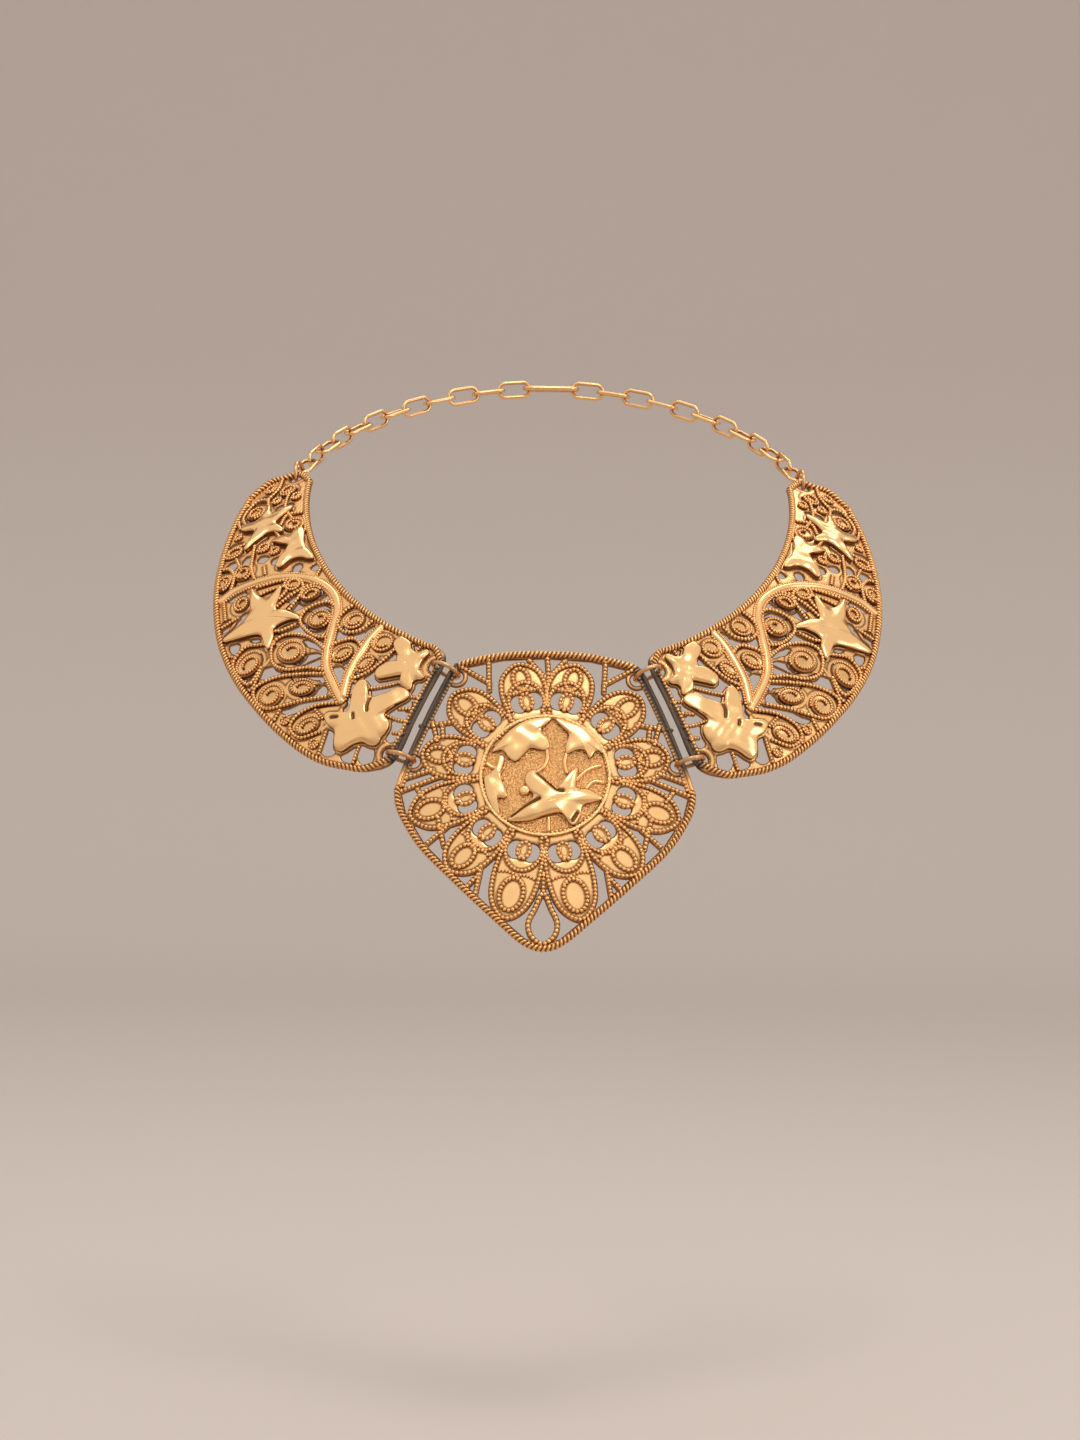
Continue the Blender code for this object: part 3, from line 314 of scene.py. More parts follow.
def ropeWire(bend, given):
    # a two-lobed section that turns once in each lay of the strands
    path = smoothPath(given, rope["lay"] / rope["steps"])
    places, total = pathLength(path)
    lay = total / max(1, round(total / rope["lay"]))
    lobe = np.abs(np.cos(turns(rope["sides"])[None, :] - 2 * math.pi * places[:, None] / lay))
    swell = 1 - rope["depth"] + rope["depth"] * lobe ** 0.9
    # painted shade where the two strands meet
    return tube(bend, path, rope["lift"], rope["radius"] * swell, rope["sides"],
                groove=1.3 * (1 - lobe) ** 1.1)


def grown(outline, distance):
    # a closed outline moved outwards all round, which rounds its tips
    ahead = np.roll(outline, -1, axis=0)
    area = (outline[:, 0] * ahead[:, 1] - outline[:, 1] * ahead[:, 0]).sum()
    return offsetPath(outline, -distance if area > 0 else distance, True)


def cushion(bend, middle, flat, height, paintedShade, polish):
    # rings of points from a middle out to a rim and under to a foot; height, painted shade and polish
    # are each a value at the middle and the values of the rings
    rings, around = flat.shape[:2]
    height, paintedShade, polish = ((top, spread(values, (rings, around)).ravel())
                              for top, values in (height, paintedShade, polish))
    points = np.vstack([bend(flat.reshape(-1, 2), height[1]),
                        bend(np.vstack([middle, middle]), np.array([height[0], height[1][-1]]))])
    tris = np.vstack([poleFaces(np.arange(around), rings * around),
                      poleFaces(np.arange(around) + (rings - 1) * around, rings * around + 1)[:, ::-1]])
    # the foot point gets full painted shade
    return surface(points, gridFaces(rings, around), tris, np.append(paintedShade[1], [paintedShade[0], 1.0]),
                   np.append(polish[1], [polish[0], 0.0]))


# Polished leaf: a domed cushion with a rounded rim. Edge, rise, foot and hammer are heights
leafForm = {"soften": 0.0013, "step": 0.00045, "shoulder": 0.00012, "wall": 0.00035,
            "groove": 0.00048, "grooveDepth": 0.0006}
leafKinds = {
    "side": {"rings": 26, "edge": 0.0021, "rise": 0.0007, "foot": 0.0004, "hammer": 0.00016},
    "medallion": {"rings": 36, "edge": 0.0020, "rise": 0.0004, "foot": 0.0008, "hammer": 0.00012},
    "star": {"rings": 36, "edge": 0.0020, "rise": 0.0009, "foot": 0.0008, "hammer": 0.00012},
    "pellet": {"rings": 14, "edge": 0.0016, "rise": 0.0007, "foot": 0.0008, "hammer": 0.0},
}


def leaf(bend, kind, middle, given, growth=0.0, grooves=()):
    # points on rays from the middle to a smooth outline; height falls as 1 - share ** 5,
    # and long waves lie over it as on a hand-finished casting
    form = leafKinds[kind]
    edge, rise, count = form["edge"], form["rise"], form["rings"]
    outline = smoothPath(grown(smoothPath(given, leafForm["soften"], True), growth), leafForm["step"], True)
    middle = np.asarray(middle, dtype=float)
    shares = np.append(np.linspace(0.08, 0.97, count), [1.0, 1.0, 0.985])
    flat = middle + shares[:, None, None] * (outline - middle)[None, :, :]
    height = edge + rise * (1 - np.clip(shares, 0, 1) ** 5)[:, None]
    height[-3] -= leafForm["shoulder"]
    waves = (np.sin(flat[..., 0] * 900 + 1.3 * np.sin(flat[..., 1] * 500))
             * np.sin(flat[..., 1] * 800 + 0.7))
    height = height + form["hammer"] * waves * (1 - shares ** 4)[:, None]
    sunk = np.zeros(flat.shape[:2])
    for groove in grooves:
        away = pathDistance(flat.reshape(-1, 2), smoothPath(groove, 0.0004)).reshape(sunk.shape)
        sunk = np.maximum(sunk, np.exp(-(away / leafForm["groove"]) ** 2))
    height = height - leafForm["grooveDepth"] * sunk
    height[-2] = edge - leafForm["wall"]
    height[-1] = form["foot"]
    # painted shade under the rounded rim, down the wall to the foot, and in the grooves
    paintedShade = np.array([0.0] * count + [0.25, 0.9, 1.0])[:, None]
    polish = [1.0] * (count + 1) + [0.2, 0.0]
    return cushion(bend, middle, flat, (edge + rise, height), (0.0, np.maximum(paintedShade, 1.4 * sunk)),
                   (1.0, polish))


# Rings of a dish from its middle: share of its reach, painted shade in the hollow and at the rim, polish
dishRings = np.array([(0.0, 0.3, 0.9), (0.2, 0.25, 0.9), (0.4, 0.2, 0.9), (0.6, 0.15, 0.9),
                      (0.8, 0.3, 0.7), (0.93, 0.6, 0.3), (1.0, 0.9, 0.0), (1.0, 1.0, 0.0)])


def dish(bend, middle, long, short, direction, rim, hollow):
    # an oval hollow: height = hollow + (rim - hollow) * share ** 2, on rays from its middle
    shares, paintedShade, polish = dishRings.T
    flat = middle + shares[1:, None, None] * oval(np.zeros(2), long, short, direction, 28)[None, :, :]
    height = hollow + (rim - hollow) * shares[1:] ** 2
    height[-1] = 0.0003
    return cushion(bend, middle, flat, (hollow, height), (paintedShade[0], paintedShade[1:]),
                   (polish[0], polish[1:]))


def oval(middle, long, short, direction, count=16):
    # a ring of points round an oval
    turn = turns(count)
    along = np.asarray(direction)
    side = np.array([-along[1], along[0]])
    return middle + long * np.cos(turn)[:, None] * along + short * np.sin(turn)[:, None] * side


def disc(middle, radius, count=20):
    # a circle, as an oval of two equal reaches
    return oval(middle, radius, radius, (1.0, 0.0), count)


def pathDistance(points, path):
    # distance to the nearest stretch of a path
    best = np.full(len(points), 1e9)
    for a, b in zip(path[:-1], path[1:]):
        reach = b - a
        share = np.clip(((points - a) @ reach) / max(float(reach @ reach), 1e-18), 0.0, 1.0)
        gap = points - a - share[:, None] * reach
        best = np.minimum(best, np.einsum("ij,ij->i", gap, gap))
    return np.sqrt(best)


def outlineDistance(points, outline):
    # distance to a closed outline, positive where a ray crosses it an odd number of times
    flat = points.reshape(-1, 2)
    inside = np.zeros(len(flat), dtype=bool)
    for a, b in zip(outline, np.roll(outline, -1, axis=0)):
        if a[1] != b[1]:
            crossed = (a[1] > flat[:, 1]) != (b[1] > flat[:, 1])
            inside ^= crossed & (flat[:, 0] < a[0] + (flat[:, 1] - a[1]) * (b[0] - a[0]) / (b[1] - a[1]))
    return (pathDistance(flat, looped(outline)) * np.where(inside, 1.0, -1.0)).reshape(points.shape[:-1])


def near(points, outline, margin):
    # which points lie in a box round an outline
    return ((points > outline.min(axis=0) - margin) & (points < outline.max(axis=0) + margin)).all(axis=-1)


def plateField(points, rim, solid, openings, flanges, gaps):
    # distance inwards from the border of a floor: the solid outlines less the openings, with
    # the flanges, less the gaps, and all inside the rim
    value = np.full(points.shape[:-1], -0.002)

    def join(outlines, sign):
        for outline in outlines:
            window = near(points, outline, 0.001)
            value[window] = sign * np.maximum(sign * value[window],
                                              outlineDistance(points[window], outline))

    join(solid, 1)
    join(openings, -1)
    for path, halfWidth in flanges:
        window = near(points, path, halfWidth + 0.001)
        value[window] = np.maximum(value[window], halfWidth - pathDistance(points[window], path))
    join(gaps, -1)
    return np.minimum(value, outlineDistance(points, rim))


# Floor: its rounded border, the painted shade at its border and beside its wires, and the painted shade on
# its back
floorForm = {"round": 0.00030, "roundReach": 0.00025, "border": 0.75, "borderReach": 0.0009,
             "beside": 0.85, "besidePlace": 0.00065, "besideReach": 0.00055, "behind": 0.35}


def floorPlate(bend, rim, solid, openings, flanges, gaps, lines, cell, lift, polish):
    # cells of a square grid where the plate's field is positive, with their border moved on to
    # its zero line, as a front, a back and walls. A flange is a path and its half width, and a
    # line is a path beside which shade is painted
    everything = np.vstack(list(solid) + [path for path, _ in flanges])
    low = everything.min(axis=0) - 2 * cell
    high = everything.max(axis=0) + 2 * cell
    grid = np.stack(np.meshgrid(np.arange(low[0], high[0], cell), np.arange(low[1], high[1], cell),
                                indexing="ij"), -1)
    value = plateField(grid, rim, solid, openings, flanges, gaps)
    value = np.maximum(value, -2 * cell)
    mean = (value[:-1, :-1] + value[1:, :-1] + value[:-1, 1:] + value[1:, 1:]) / 4
    kept = mean > 0
    rows, columns = grid.shape[:2]
    number = np.arange(rows * columns).reshape(rows, columns)
    corners = np.stack([number[:-1, :-1], number[1:, :-1], number[1:, 1:], number[:-1, 1:]], -1)
    faces = corners[kept]
    touched = np.zeros((rows, columns), dtype=int)
    for di, dj in ((0, 0), (1, 0), (0, 1), (1, 1)):
        touched[di:rows - 1 + di, dj:columns - 1 + dj] += kept
    border = (touched > 0) & (touched < 4)
    slope = np.stack(np.gradient(value, cell), -1)
    size = np.maximum((slope ** 2).sum(-1, keepdims=True), 0.3)
    move = -value[..., None] * slope / size
    move *= np.minimum(1.0, 0.62 * cell / np.maximum(np.linalg.norm(move, axis=-1, keepdims=True), 1e-12))
    grid = grid + move * border[..., None]
    depth = np.where(border, 0.0, np.maximum(value, 0.0))
    height = lift - floorForm["round"] * np.exp(-depth / floorForm["roundReach"])
    padded = np.pad(kept, 1)
    walls = []
    for di, dj, one, other in ((-1, 0, 3, 0), (1, 0, 1, 2), (0, -1, 0, 1), (0, 1, 2, 3)):
        open_ = kept & ~padded[1 + di:1 + di + kept.shape[0], 1 + dj:1 + dj + kept.shape[1]]
        walls.append(np.stack([corners[open_][:, one], corners[open_][:, other]], -1))
    walls = np.vstack(walls)
    total = rows * columns
    quads = np.vstack([faces, faces[:, ::-1] + total,
                       np.stack([walls[:, 1], walls[:, 0], walls[:, 0] + total, walls[:, 1] + total], -1)])
    flat = grid.reshape(-1, 2)
    points = np.vstack([bend(flat, height.ravel()), bend(flat, np.zeros(total))])
    beside = np.full(total, 1.0)
    for path in lines + [path for path, _ in flanges]:
        window = near(flat, path, 0.0015)
        beside[window] = np.minimum(beside[window], pathDistance(flat[window], path))
    # painted shade near the floor's border, in a band beside each wire and line, and on the floor's back
    edgeShade = floorForm["border"] * np.clip(1.0 - depth.ravel() / floorForm["borderReach"], 0.0, 1.0)
    beside = np.abs(beside - floorForm["besidePlace"]) / floorForm["besideReach"]
    front = np.maximum(edgeShade, floorForm["beside"] * np.clip(1.0 - beside, 0.0, 1.0))
    paintedShade = np.append(front, np.full(total, floorForm["behind"]))
    used, place = np.unique(quads, return_inverse=True)
    shine = np.repeat([polish, 0.0], total)
    return surface(points[used], place.reshape(-1, 4), None, paintedShade[used], shine[used])


# Tarnish lies where the jump rings rub and along the edges that face each other
tarnishReach = {"ring": 0.0050, "edge": 0.0024}
upperRing, lowerRing = (np.mean(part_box(f"panel_ring_right_{name}"), axis=0) for name in ("upper", "lower"))


def tarnishAt(points, strength):
    # 1 at a ring or on the line between two rings, falling to 0 at the reach
    right = np.hstack([np.abs(points[:, :1]), points[:, 1:]])
    reach = lowerRing - upperRing
    share = np.clip(((right - upperRing) @ reach) / (reach @ reach), 0.0, 1.0)
    gap = right - upperRing - share[:, None] * reach
    sideways = np.hypot(gap[:, 0], gap[:, 2] + 0.35 * gap[:, 0])
    away = np.minimum(np.linalg.norm(right - upperRing, axis=1), np.linalg.norm(right - lowerRing, axis=1))
    return strength * np.maximum(np.clip(1.25 - away / tarnishReach["ring"], 0.0, 1.0),
                                 0.95 * np.clip(1.9 - sideways / tarnishReach["edge"], 0.0, 1.0))


def makePiece(name, surfaces, material, node, mirrored=False):
    # one mesh of closed surfaces, with its marks as attributes, riding on the frame
    starts = np.cumsum([0] + [len(one["points"]) for one in surfaces])
    points = np.vstack([one["points"] for one in surfaces])
    quads = np.vstack([one["quads"] + start for one, start in zip(surfaces, starts)])
    tris = np.vstack([one["tris"] + start for one, start in zip(surfaces, starts)]).astype(int)
    if mirrored:
        points = points * np.array([-1.0, 1.0, 1.0])
        quads = quads[:, ::-1]
        tris = tris[:, ::-1]
    mesh = bpy.data.meshes.new(name)
    mesh.vertices.add(len(points))
    mesh.vertices.foreach_set("co", points.astype(np.float32).ravel())
    loops = np.concatenate([quads.ravel(), tris.ravel()]).astype(np.int32)
    mesh.loops.add(len(loops))
    mesh.loops.foreach_set("vertex_index", loops)
    mesh.polygons.add(len(quads) + len(tris))
    firsts = np.concatenate([np.arange(len(quads)) * 4, len(quads) * 4 + np.arange(len(tris)) * 3])
    mesh.polygons.foreach_set("loop_start", firsts.astype(np.int32))
    mesh.update(calc_edges=True)
    mesh.validate()
    mesh.shade_smooth()
    marks = {mark: np.concatenate([one[mark] for one in surfaces]) for mark in ("paintedShade", "polish")}
    marks["tarnish"] = tarnishAt(points, 0.45 if material.name.startswith("copper") else 1.0)
    for mark, values in marks.items():
        layer = mesh.attributes.new(mark, "FLOAT", "POINT")
        layer.data.foreach_set("value", values.astype(np.float32))
    item = bpy.data.objects.new(name, mesh)
    bpy.context.scene.collection.objects.link(item)
    mesh.materials.append(material)
    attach(item, "root")
    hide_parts(node)
    print(f"necklace: {name}, {len(quads) * 2 + len(tris)} triangles")


class Amount:
    # a socket that takes part in sums as a number would
    def __init__(self, finish, socket):
        self.finish = finish
        self.socket = socket

    def __add__(self, other):
        return self.finish.maths("ADD", self, other)

    def __sub__(self, other):
        return self.finish.maths("SUBTRACT", self, other)

    def __rsub__(self, other):
        return self.finish.maths("SUBTRACT", other, self)

    def __mul__(self, other):
        return self.finish.maths("MULTIPLY", self, other)

    __radd__ = __add__
    __rmul__ = __mul__

    def held(self):
        return self.finish.maths("ADD", self, 0.0, use_clamp=True)


class Finish:
    # a material whose nodes are added by expressions
    def __init__(self, name):
        self.material = bpy.data.materials.new(name)
        self.material.use_nodes = True
        self.tree = self.material.node_tree
        self.shader = self.tree.nodes["Principled BSDF"]

    def feed(self, socket, value):
        if isinstance(value, Amount):
            self.tree.links.new(value.socket, socket)
        else:
            socket.default_value = value

    def node(self, kind, settings, values):
        # settings first, then the values or links of the sockets
        made = self.tree.nodes.new(kind)
        for key, value in settings.items():
            setattr(made, key, value)
        for key, value in values.items():
            self.feed(made.inputs[key], value)
        return made

    def maths(self, operation, first, second, use_clamp=False):
        made = self.node("ShaderNodeMath", {"operation": operation, "use_clamp": use_clamp},
                         {0: first, 1: second})
        return Amount(self, made.outputs[0])

    def mark(self, name):
        return Amount(self, self.node("ShaderNodeAttribute", {"attribute_name": name}, {}).outputs["Fac"])

    def place(self):
        return Amount(self, self.node("ShaderNodeTexCoord", {}, {}).outputs["Object"])

    def noise(self, scale, detail=2.0):
        made = self.node("ShaderNodeTexNoise", {}, {"Vector": self.place(), "Scale": scale,
                                                    "Detail": detail})
        return Amount(self, made.outputs["Fac"])

    def ramp(self, value, low, high):
        # 0 below low, 1 above high
        made = self.node("ShaderNodeMapRange", {"clamp": True},
                         {"Value": value, "From Min": low, "From Max": high})
        return Amount(self, made.outputs["Result"])

    def mix(self, share, one, other):
        made = self.node("ShaderNodeMix", {"data_type": "RGBA"}, {0: share, 6: one, 7: other})
        return Amount(self, made.outputs[2])

    def bump(self, height, distance):
        made = self.node("ShaderNodeBump", {}, {"Height": height, "Distance": distance,
                                                "Strength": 1.0})
        return Amount(self, made.outputs["Normal"])


def shade(red, green, blue):
    # a solid colour with full cover
    return (red, green, blue, 1.0)


goldTones = {
    "polished": shade(0.93, 0.55, 0.24),
    "cast": shade(0.92, 0.48, 0.18),
    # dark brown for painted shade in recesses, under rims and beside wires, and for dark specks
    "deep": shade(0.15, 0.050, 0.015),
    "copper": shade(0.56, 0.28, 0.13),
    "tarnish": shade(0.060, 0.048, 0.042),
}


def giltFinish(name, bright, roughness, deepening, grain, grainDepth, specking=0.40):
    # gilding darkened by painted shade in recesses, dulled in patches and tarnished by the rings
    finish = Finish(name)
    paintedShade = finish.mark("paintedShade")
    polish = finish.mark("polish")
    patches = finish.noise(260.0, 3.0)
    specks = finish.noise(2600.0)
    base = finish.mix(polish, bright, goldTones["polished"])
    base = finish.mix((patches - 0.35).held() * 0.5, base, goldTones["cast"])
    # painted shade from the mark, mixed with random dark specks, darkens the colour and roughens it
    depth = finish.ramp(paintedShade + specking * (specks - 0.5), 0.10, 0.80) * deepening
    base = finish.mix(depth, base, goldTones["deep"])
    rubbed = finish.ramp(finish.mark("tarnish") + 0.55 * (patches - 0.5) + 0.25 * paintedShade, 0.35, 0.85)
    base = finish.mix(rubbed * 0.92, base, goldTones["tarnish"])
    finish.feed(finish.shader.inputs["Base Color"], base)
    finish.feed(finish.shader.inputs["Roughness"],
                (roughness - 0.05 * polish + 0.22 * depth + 0.30 * rubbed + 0.16 * (patches - 0.5)).held())
    finish.feed(finish.shader.inputs["Metallic"], (1.0 - 0.55 * rubbed).held())
    grains = finish.noise(grain) * (1.05 - polish)
    finish.feed(finish.shader.inputs["Normal"], finish.bump(grains, grainDepth))
    return finish.material


castGold = giltFinish("castGold", goldTones["cast"], 0.29, 0.95, 1500.0, 0.00012)
polishedGold = giltFinish("polishedGold", goldTones["polished"], 0.28, 0.95, 420.0, 0.00010)
sandedGold = giltFinish("sandedGold", goldTones["cast"], 0.34, 0.75, 1700.0, 0.00080, 1.5)
copperGold = giltFinish("copperGold", goldTones["copper"], 0.32, 0.70, 900.0, 0.00006)
print("necklace: finishes made")

# Right half of the outline, as shares of the half width and of the height above or the drop below
shieldOutline = np.array([
    (0.00, 1.000), (0.30, 0.985), (0.57, 0.925), (0.655, 0.850), (0.785, 0.540), (0.935, 0.130),
    (0.990, -0.040), (1.00, -0.090), (0.965, -0.210), (0.82, -0.410), (0.58, -0.620), (0.33, -0.820),
    (0.14, -0.960), (0.00, -1.000),
])
# Angle from straight up and reach as a share of the medallion's radius
petalRows = [(14.0, 1.95), (46.5, 2.02), (77.5, 1.97), (107.0, 2.18), (137.0, 2.13), (166.0, 2.42)]
petal = {
    "width": 0.0128,
    "outline": [(-0.02, 0.76), (0.20, 0.90), (0.50, 1.00), (0.77, 0.86), (0.93, 0.48)],
    "loopPlace": 0.0045,
    "loopLong": 0.0023,
    "loopWide": 0.00155,
    "gapInner": 0.0019,
    "sickle": 0.0024,
    "upperPlace": 0.70,
    "upperLong": 0.185,
    "upperWide": 0.125,
    "floorLift": 0.0010,
    "wireLift": 0.0012,
    "flange": 0.00075,
    "cell": 0.00030,
}
# Wires round a plate's edge that faces a neighbour: inset, lift and radius
edgeWires = {"plain": (0.0006, 0.0008, 0.00062), "beaded": (0.0020, 0.0011, 0.00058)}
# Floor: disc under the medallion, inset of the rim, inset and half width of the edge's strip.
# Wires and dishes: the lift of struts, the radii of arches, bars and drop, a dish's rim and hollow
centreForm = {"disc": 0.0178, "rim": 0.0004, "edge": 0.0011, "edgeFlange": 0.0010, "strutLift": 0.0011,
              "archRadius": 0.00055, "barRadius": 0.00050, "dropRadius": 0.00066, "dishRim": 0.0013,
              "dishHollow": 0.0008}
medallion = {"radius": 0.0170, "ground": 0.0012, "rim": 0.0021, "rimWidth": 0.0009}
# Struts of the right half, in shares of the half width and the drop
strutRows = [
    (0.39, 0.690, 0.38, 0.500), (0.575, 0.645, 0.38, 0.545), (0.845, 0.300, 0.600, 0.320),
    (0.690, 0.310, 0.680, 0.225), (0.960, -0.075, 0.700, 0.000), (0.77, -0.385, 0.635, -0.290),
    (0.44, -0.680, 0.405, -0.515), (0.52, -0.655, 0.415, -0.560), (0.70, -0.225, 0.655, -0.400),
    (0.845, -0.060, 0.790, -0.130), (0.755, 0.330, 0.715, 0.200), (0.93, 0.000, 0.74, 0.045),
    (0.12, 0.680, 0.02, 0.585),
]
# The strut above the medallion, and the right half of the drop at the tip, in the same shares
middleStrut = [(0.00, 0.700), (0.010, 0.600), (0.00, 0.400)]
dropRows = [(0.00, -0.672), (0.052, -0.757), (0.0935, -0.836), (0.075, -0.910), (0.0, -0.955)]


def centreShares(rows):
    # shares of the half width and the drop, in metres
    return np.array(rows) * np.array([collar["centreHalfWidth"], collar["centreDrop"]])


def shieldPoints(rows):
    # shares of the half width, and of the height above or the drop below
    heights = np.where(rows[:, 1] > 0, collar["centreTop"], collar["centreDrop"])
    return np.stack([rows[:, 0] * collar["centreHalfWidth"], rows[:, 1] * heights], -1)


def flipped(points):
    # the mirror image from side to side
    return points * np.array([-1.0, 1.0])


def bothSides(points):
    return [points, flipped(points)]


def petalParts(angle, reach):
    # border, arch, loops and sickle gaps of a petal, laid along its own two directions
    out = np.array([math.sin(angle), math.cos(angle)])
    across = np.array([out[1], -out[0]])
    base = medallion["radius"]
    length = reach - base
    half = petal["width"] / 2 - bead["radius"]
    one = np.array([out * (base + along * (length - bead["radius"])) + across * half * share
                    for along, share in petal["outline"]])
    other = (one - 2 * (one @ across)[:, None] * across)[::-1]
    border = np.vstack([one, [out * (reach - bead["radius"])], other])
    loop = out * (base + petal["loopPlace"])
    sweep = np.radians(np.linspace(22.0, 158.0, 13))
    swell = np.sin(np.linspace(0.0, math.pi, len(sweep)))
    gaps = []
    for side in (-1, 1):
        heading = np.cos(sweep)[:, None] * 1.3 * out + np.sin(sweep)[:, None] * side * across
        wide = np.cos(sweep)[:, None] * 1.15 * out + np.sin(sweep)[:, None] * side * across
        inner = loop + petal["gapInner"] * heading
        outer = loop + (petal["gapInner"] + petal["sickle"] * swell)[:, None] * wide
        gaps.append(np.vstack([inner, outer[::-1]]))
    arc = np.radians(np.linspace(-112.0, 112.0, 13))
    archReach = petal["gapInner"] + petal["sickle"] + 0.0003
    arch = loop + archReach * (np.cos(arc)[:, None] * 1.22 * out + np.sin(arc)[:, None] * across)
    upper = out * (base + petal["upperPlace"] * length)
    long = petal["upperLong"] * length
    wide = petal["upperWide"] * length
    bars = [np.array([upper - out * long * 0.75 + across * side * wide * 0.8,
                      upper - out * long * 1.15,
                      upper - out * long * 1.30 - across * side * 0.0024,
                      upper - out * long * 1.20 - across * side * 0.0050]) for side in (-1, 1)]
    return {"border": border, "arch": arch, "gaps": gaps, "bars": bars, "out": out, "loop": loop,
            "ring": oval(loop, petal["loopLong"], petal["loopWide"], out),
            "upperLoop": oval(upper, long, wide, out)}


petals = [petalParts(side * math.radians(angle), reach * medallion["radius"])
          for angle, reach in petalRows for side in (-1, 1)]
shield = np.vstack([shieldPoints(shieldOutline), flipped(shieldPoints(shieldOutline))[-2:0:-1]])


def centreHole(level):
    # on the set-in facing edge, as in the solids
    inset, share, corner = {"upper": (0.0028, 0.04, 3), "lower": (0.0023, 0.94, 4)}[level]
    start, end = offsetPath(shield, -inset, True)[corner:corner + 2]
    return start + (end - start) * share


eye = {"hole": 0.0017, "rim": 0.0029}
centreEyes = [point for level in ("upper", "lower") for point in bothSides(centreHole(level))]


def makeCentre():
    # floors, wires and rope of the middle plate
    floors = [smoothPath(one["border"], 0.0008, True) for one in petals]
    flanges = [(looped(floor), petal["flange"]) for floor in floors]
    floors.append(disc(np.zeros(2), centreForm["disc"], 64))
    floors += [disc(point, eye["rim"]) for point in centreEyes]
    gaps = [gap for one in petals for gap in one["gaps"]]
    gaps += [disc(point, eye["hole"]) for point in centreEyes]
    half = centreShares(dropRows)
    drop = np.vstack([half, flipped(half)[-2:0:-1]])
    struts = [path for row in strutRows for path in bothSides(centreShares([row[:2], row[2:]]))]
    struts += [centreShares(middleStrut), centreShares([(0.0, -0.672), (0.0, -0.560)])]
    flanges += [(path, petal["flange"]) for path in struts]
    flanges += [(smoothPath(drop, 0.0008, True), petal["flange"]),
                (looped(offsetPath(shield, -centreForm["edge"], True)), centreForm["edgeFlange"])]
    # paths beside which shade is painted on the floor
    lines = [smoothPath(ring, 0.0008, True) for one in petals for ring in (one["upperLoop"], one["ring"])]
    lines += [smoothPath(one["arch"], 0.0008) for one in petals]
    floor = floorPlate(centreBend, offsetPath(shield, -centreForm["rim"], True), floors, [], flanges,
                       gaps, lines, petal["cell"], petal["floorLift"], polish=0.9)
    makePiece("centre_floor", [floor], castGold, "centre_panel")

    wires = []
    for one in petals:
        wires += [beadedWire(centreBend, ring, petal["wireLift"], True)
                  for ring in (one["border"], one["ring"], one["upperLoop"])]
        wires.append(beadedWire(centreBend, one["arch"], petal["wireLift"],
                                radius=centreForm["archRadius"]))
        wires += [beadedWire(centreBend, bar, petal["wireLift"], radius=centreForm["barRadius"])
                  for bar in one["bars"]]
    wires += [beadedWire(centreBend, path, centreForm["strutLift"]) for path in struts]
    wires.append(beadedWire(centreBend, drop, petal["wireLift"], True, radius=centreForm["dropRadius"]))
    makePiece("centre_wires", wires, castGold, "centre_panel")
    dishes = [dish(centreBend, one["loop"], petal["loopLong"], petal["loopWide"], one["out"],
                   centreForm["dishRim"], centreForm["dishHollow"]) for one in petals]
    makePiece("centre_dishes", dishes, polishedGold, "centre_panel")

    count = len(shield)
    edge = offsetPath(shield, -rope["radius"], True)
    ropes = [ropeWire(centreBend, np.vstack([edge[count - 3:], edge[:4]])),
             ropeWire(centreBend, edge[6:count - 5])]
    for kind, (inset, lift, radius) in edgeWires.items():
        edge = offsetPath(shield, -inset, True)
        for path in (edge[3:7], edge[count - 6:count - 2]):
            if kind == "plain":
                ropes.append(tube(centreBend, smoothPath(path, 0.0008), lift, radius, 10))
            else:
                ropes.append(beadedWire(centreBend, path, lift, radius=radius))
    makePiece("centre_rope", ropes, castGold, "centre_panel")


# Rings of the medallion's ground and rim, as (painted shade, polish), from the last ring of the ground
groundEdge = np.array([(0.7, 0.1), (0.3, 0.4), (0.0, 0.8), (0.0, 0.8), (0.2, 0.4), (0.8, 0.0), (1.0, 0.0)])


def medallionGround():
    # a round table of rings: low uneven ground, then a rounded rim, then the foot
    radius, ground, rim = medallion["radius"], medallion["ground"], medallion["rim"]
    width = medallion["rimWidth"] / radius
    shares = np.concatenate([np.linspace(0.06, 1 - width, 24), 1 - np.array([0.75, 0.5, 0.25, 0.0]) * width,
                             [1.0, 0.985]])
    swell = np.sin(np.linspace(0.0, math.pi, 6))[1:-1]
    height = np.concatenate([np.full(24, ground), ground + (rim - ground) * swell ** 0.5,
                             [ground * 0.6, 0.0002]])
    turn = turns(120)
    flat = shares[:, None, None] * np.stack([np.sin(turn), np.cos(turn)], -1) * radius
    swing = (np.sin(flat[..., 0] * 5200 + 2 * np.sin(flat[..., 1] * 2300))
             * np.sin(flat[..., 1] * 4700 + 2 * np.sin(flat[..., 0] * 1900)))
    height = height[:, None] + 0.00007 * swing * (np.arange(len(shares)) < 23)[:, None]
    # a small even painted shade over the low ground, which lets the dark specks show, and more beside and
    # under the rim
    marks = np.vstack([np.tile((0.15, 0.1), (23, 1)), groundEdge])
    return cushion(centreBend, np.zeros(2), flat, (ground, height), (0.15, marks[:, 0]), (0.1, marks[:, 1]))


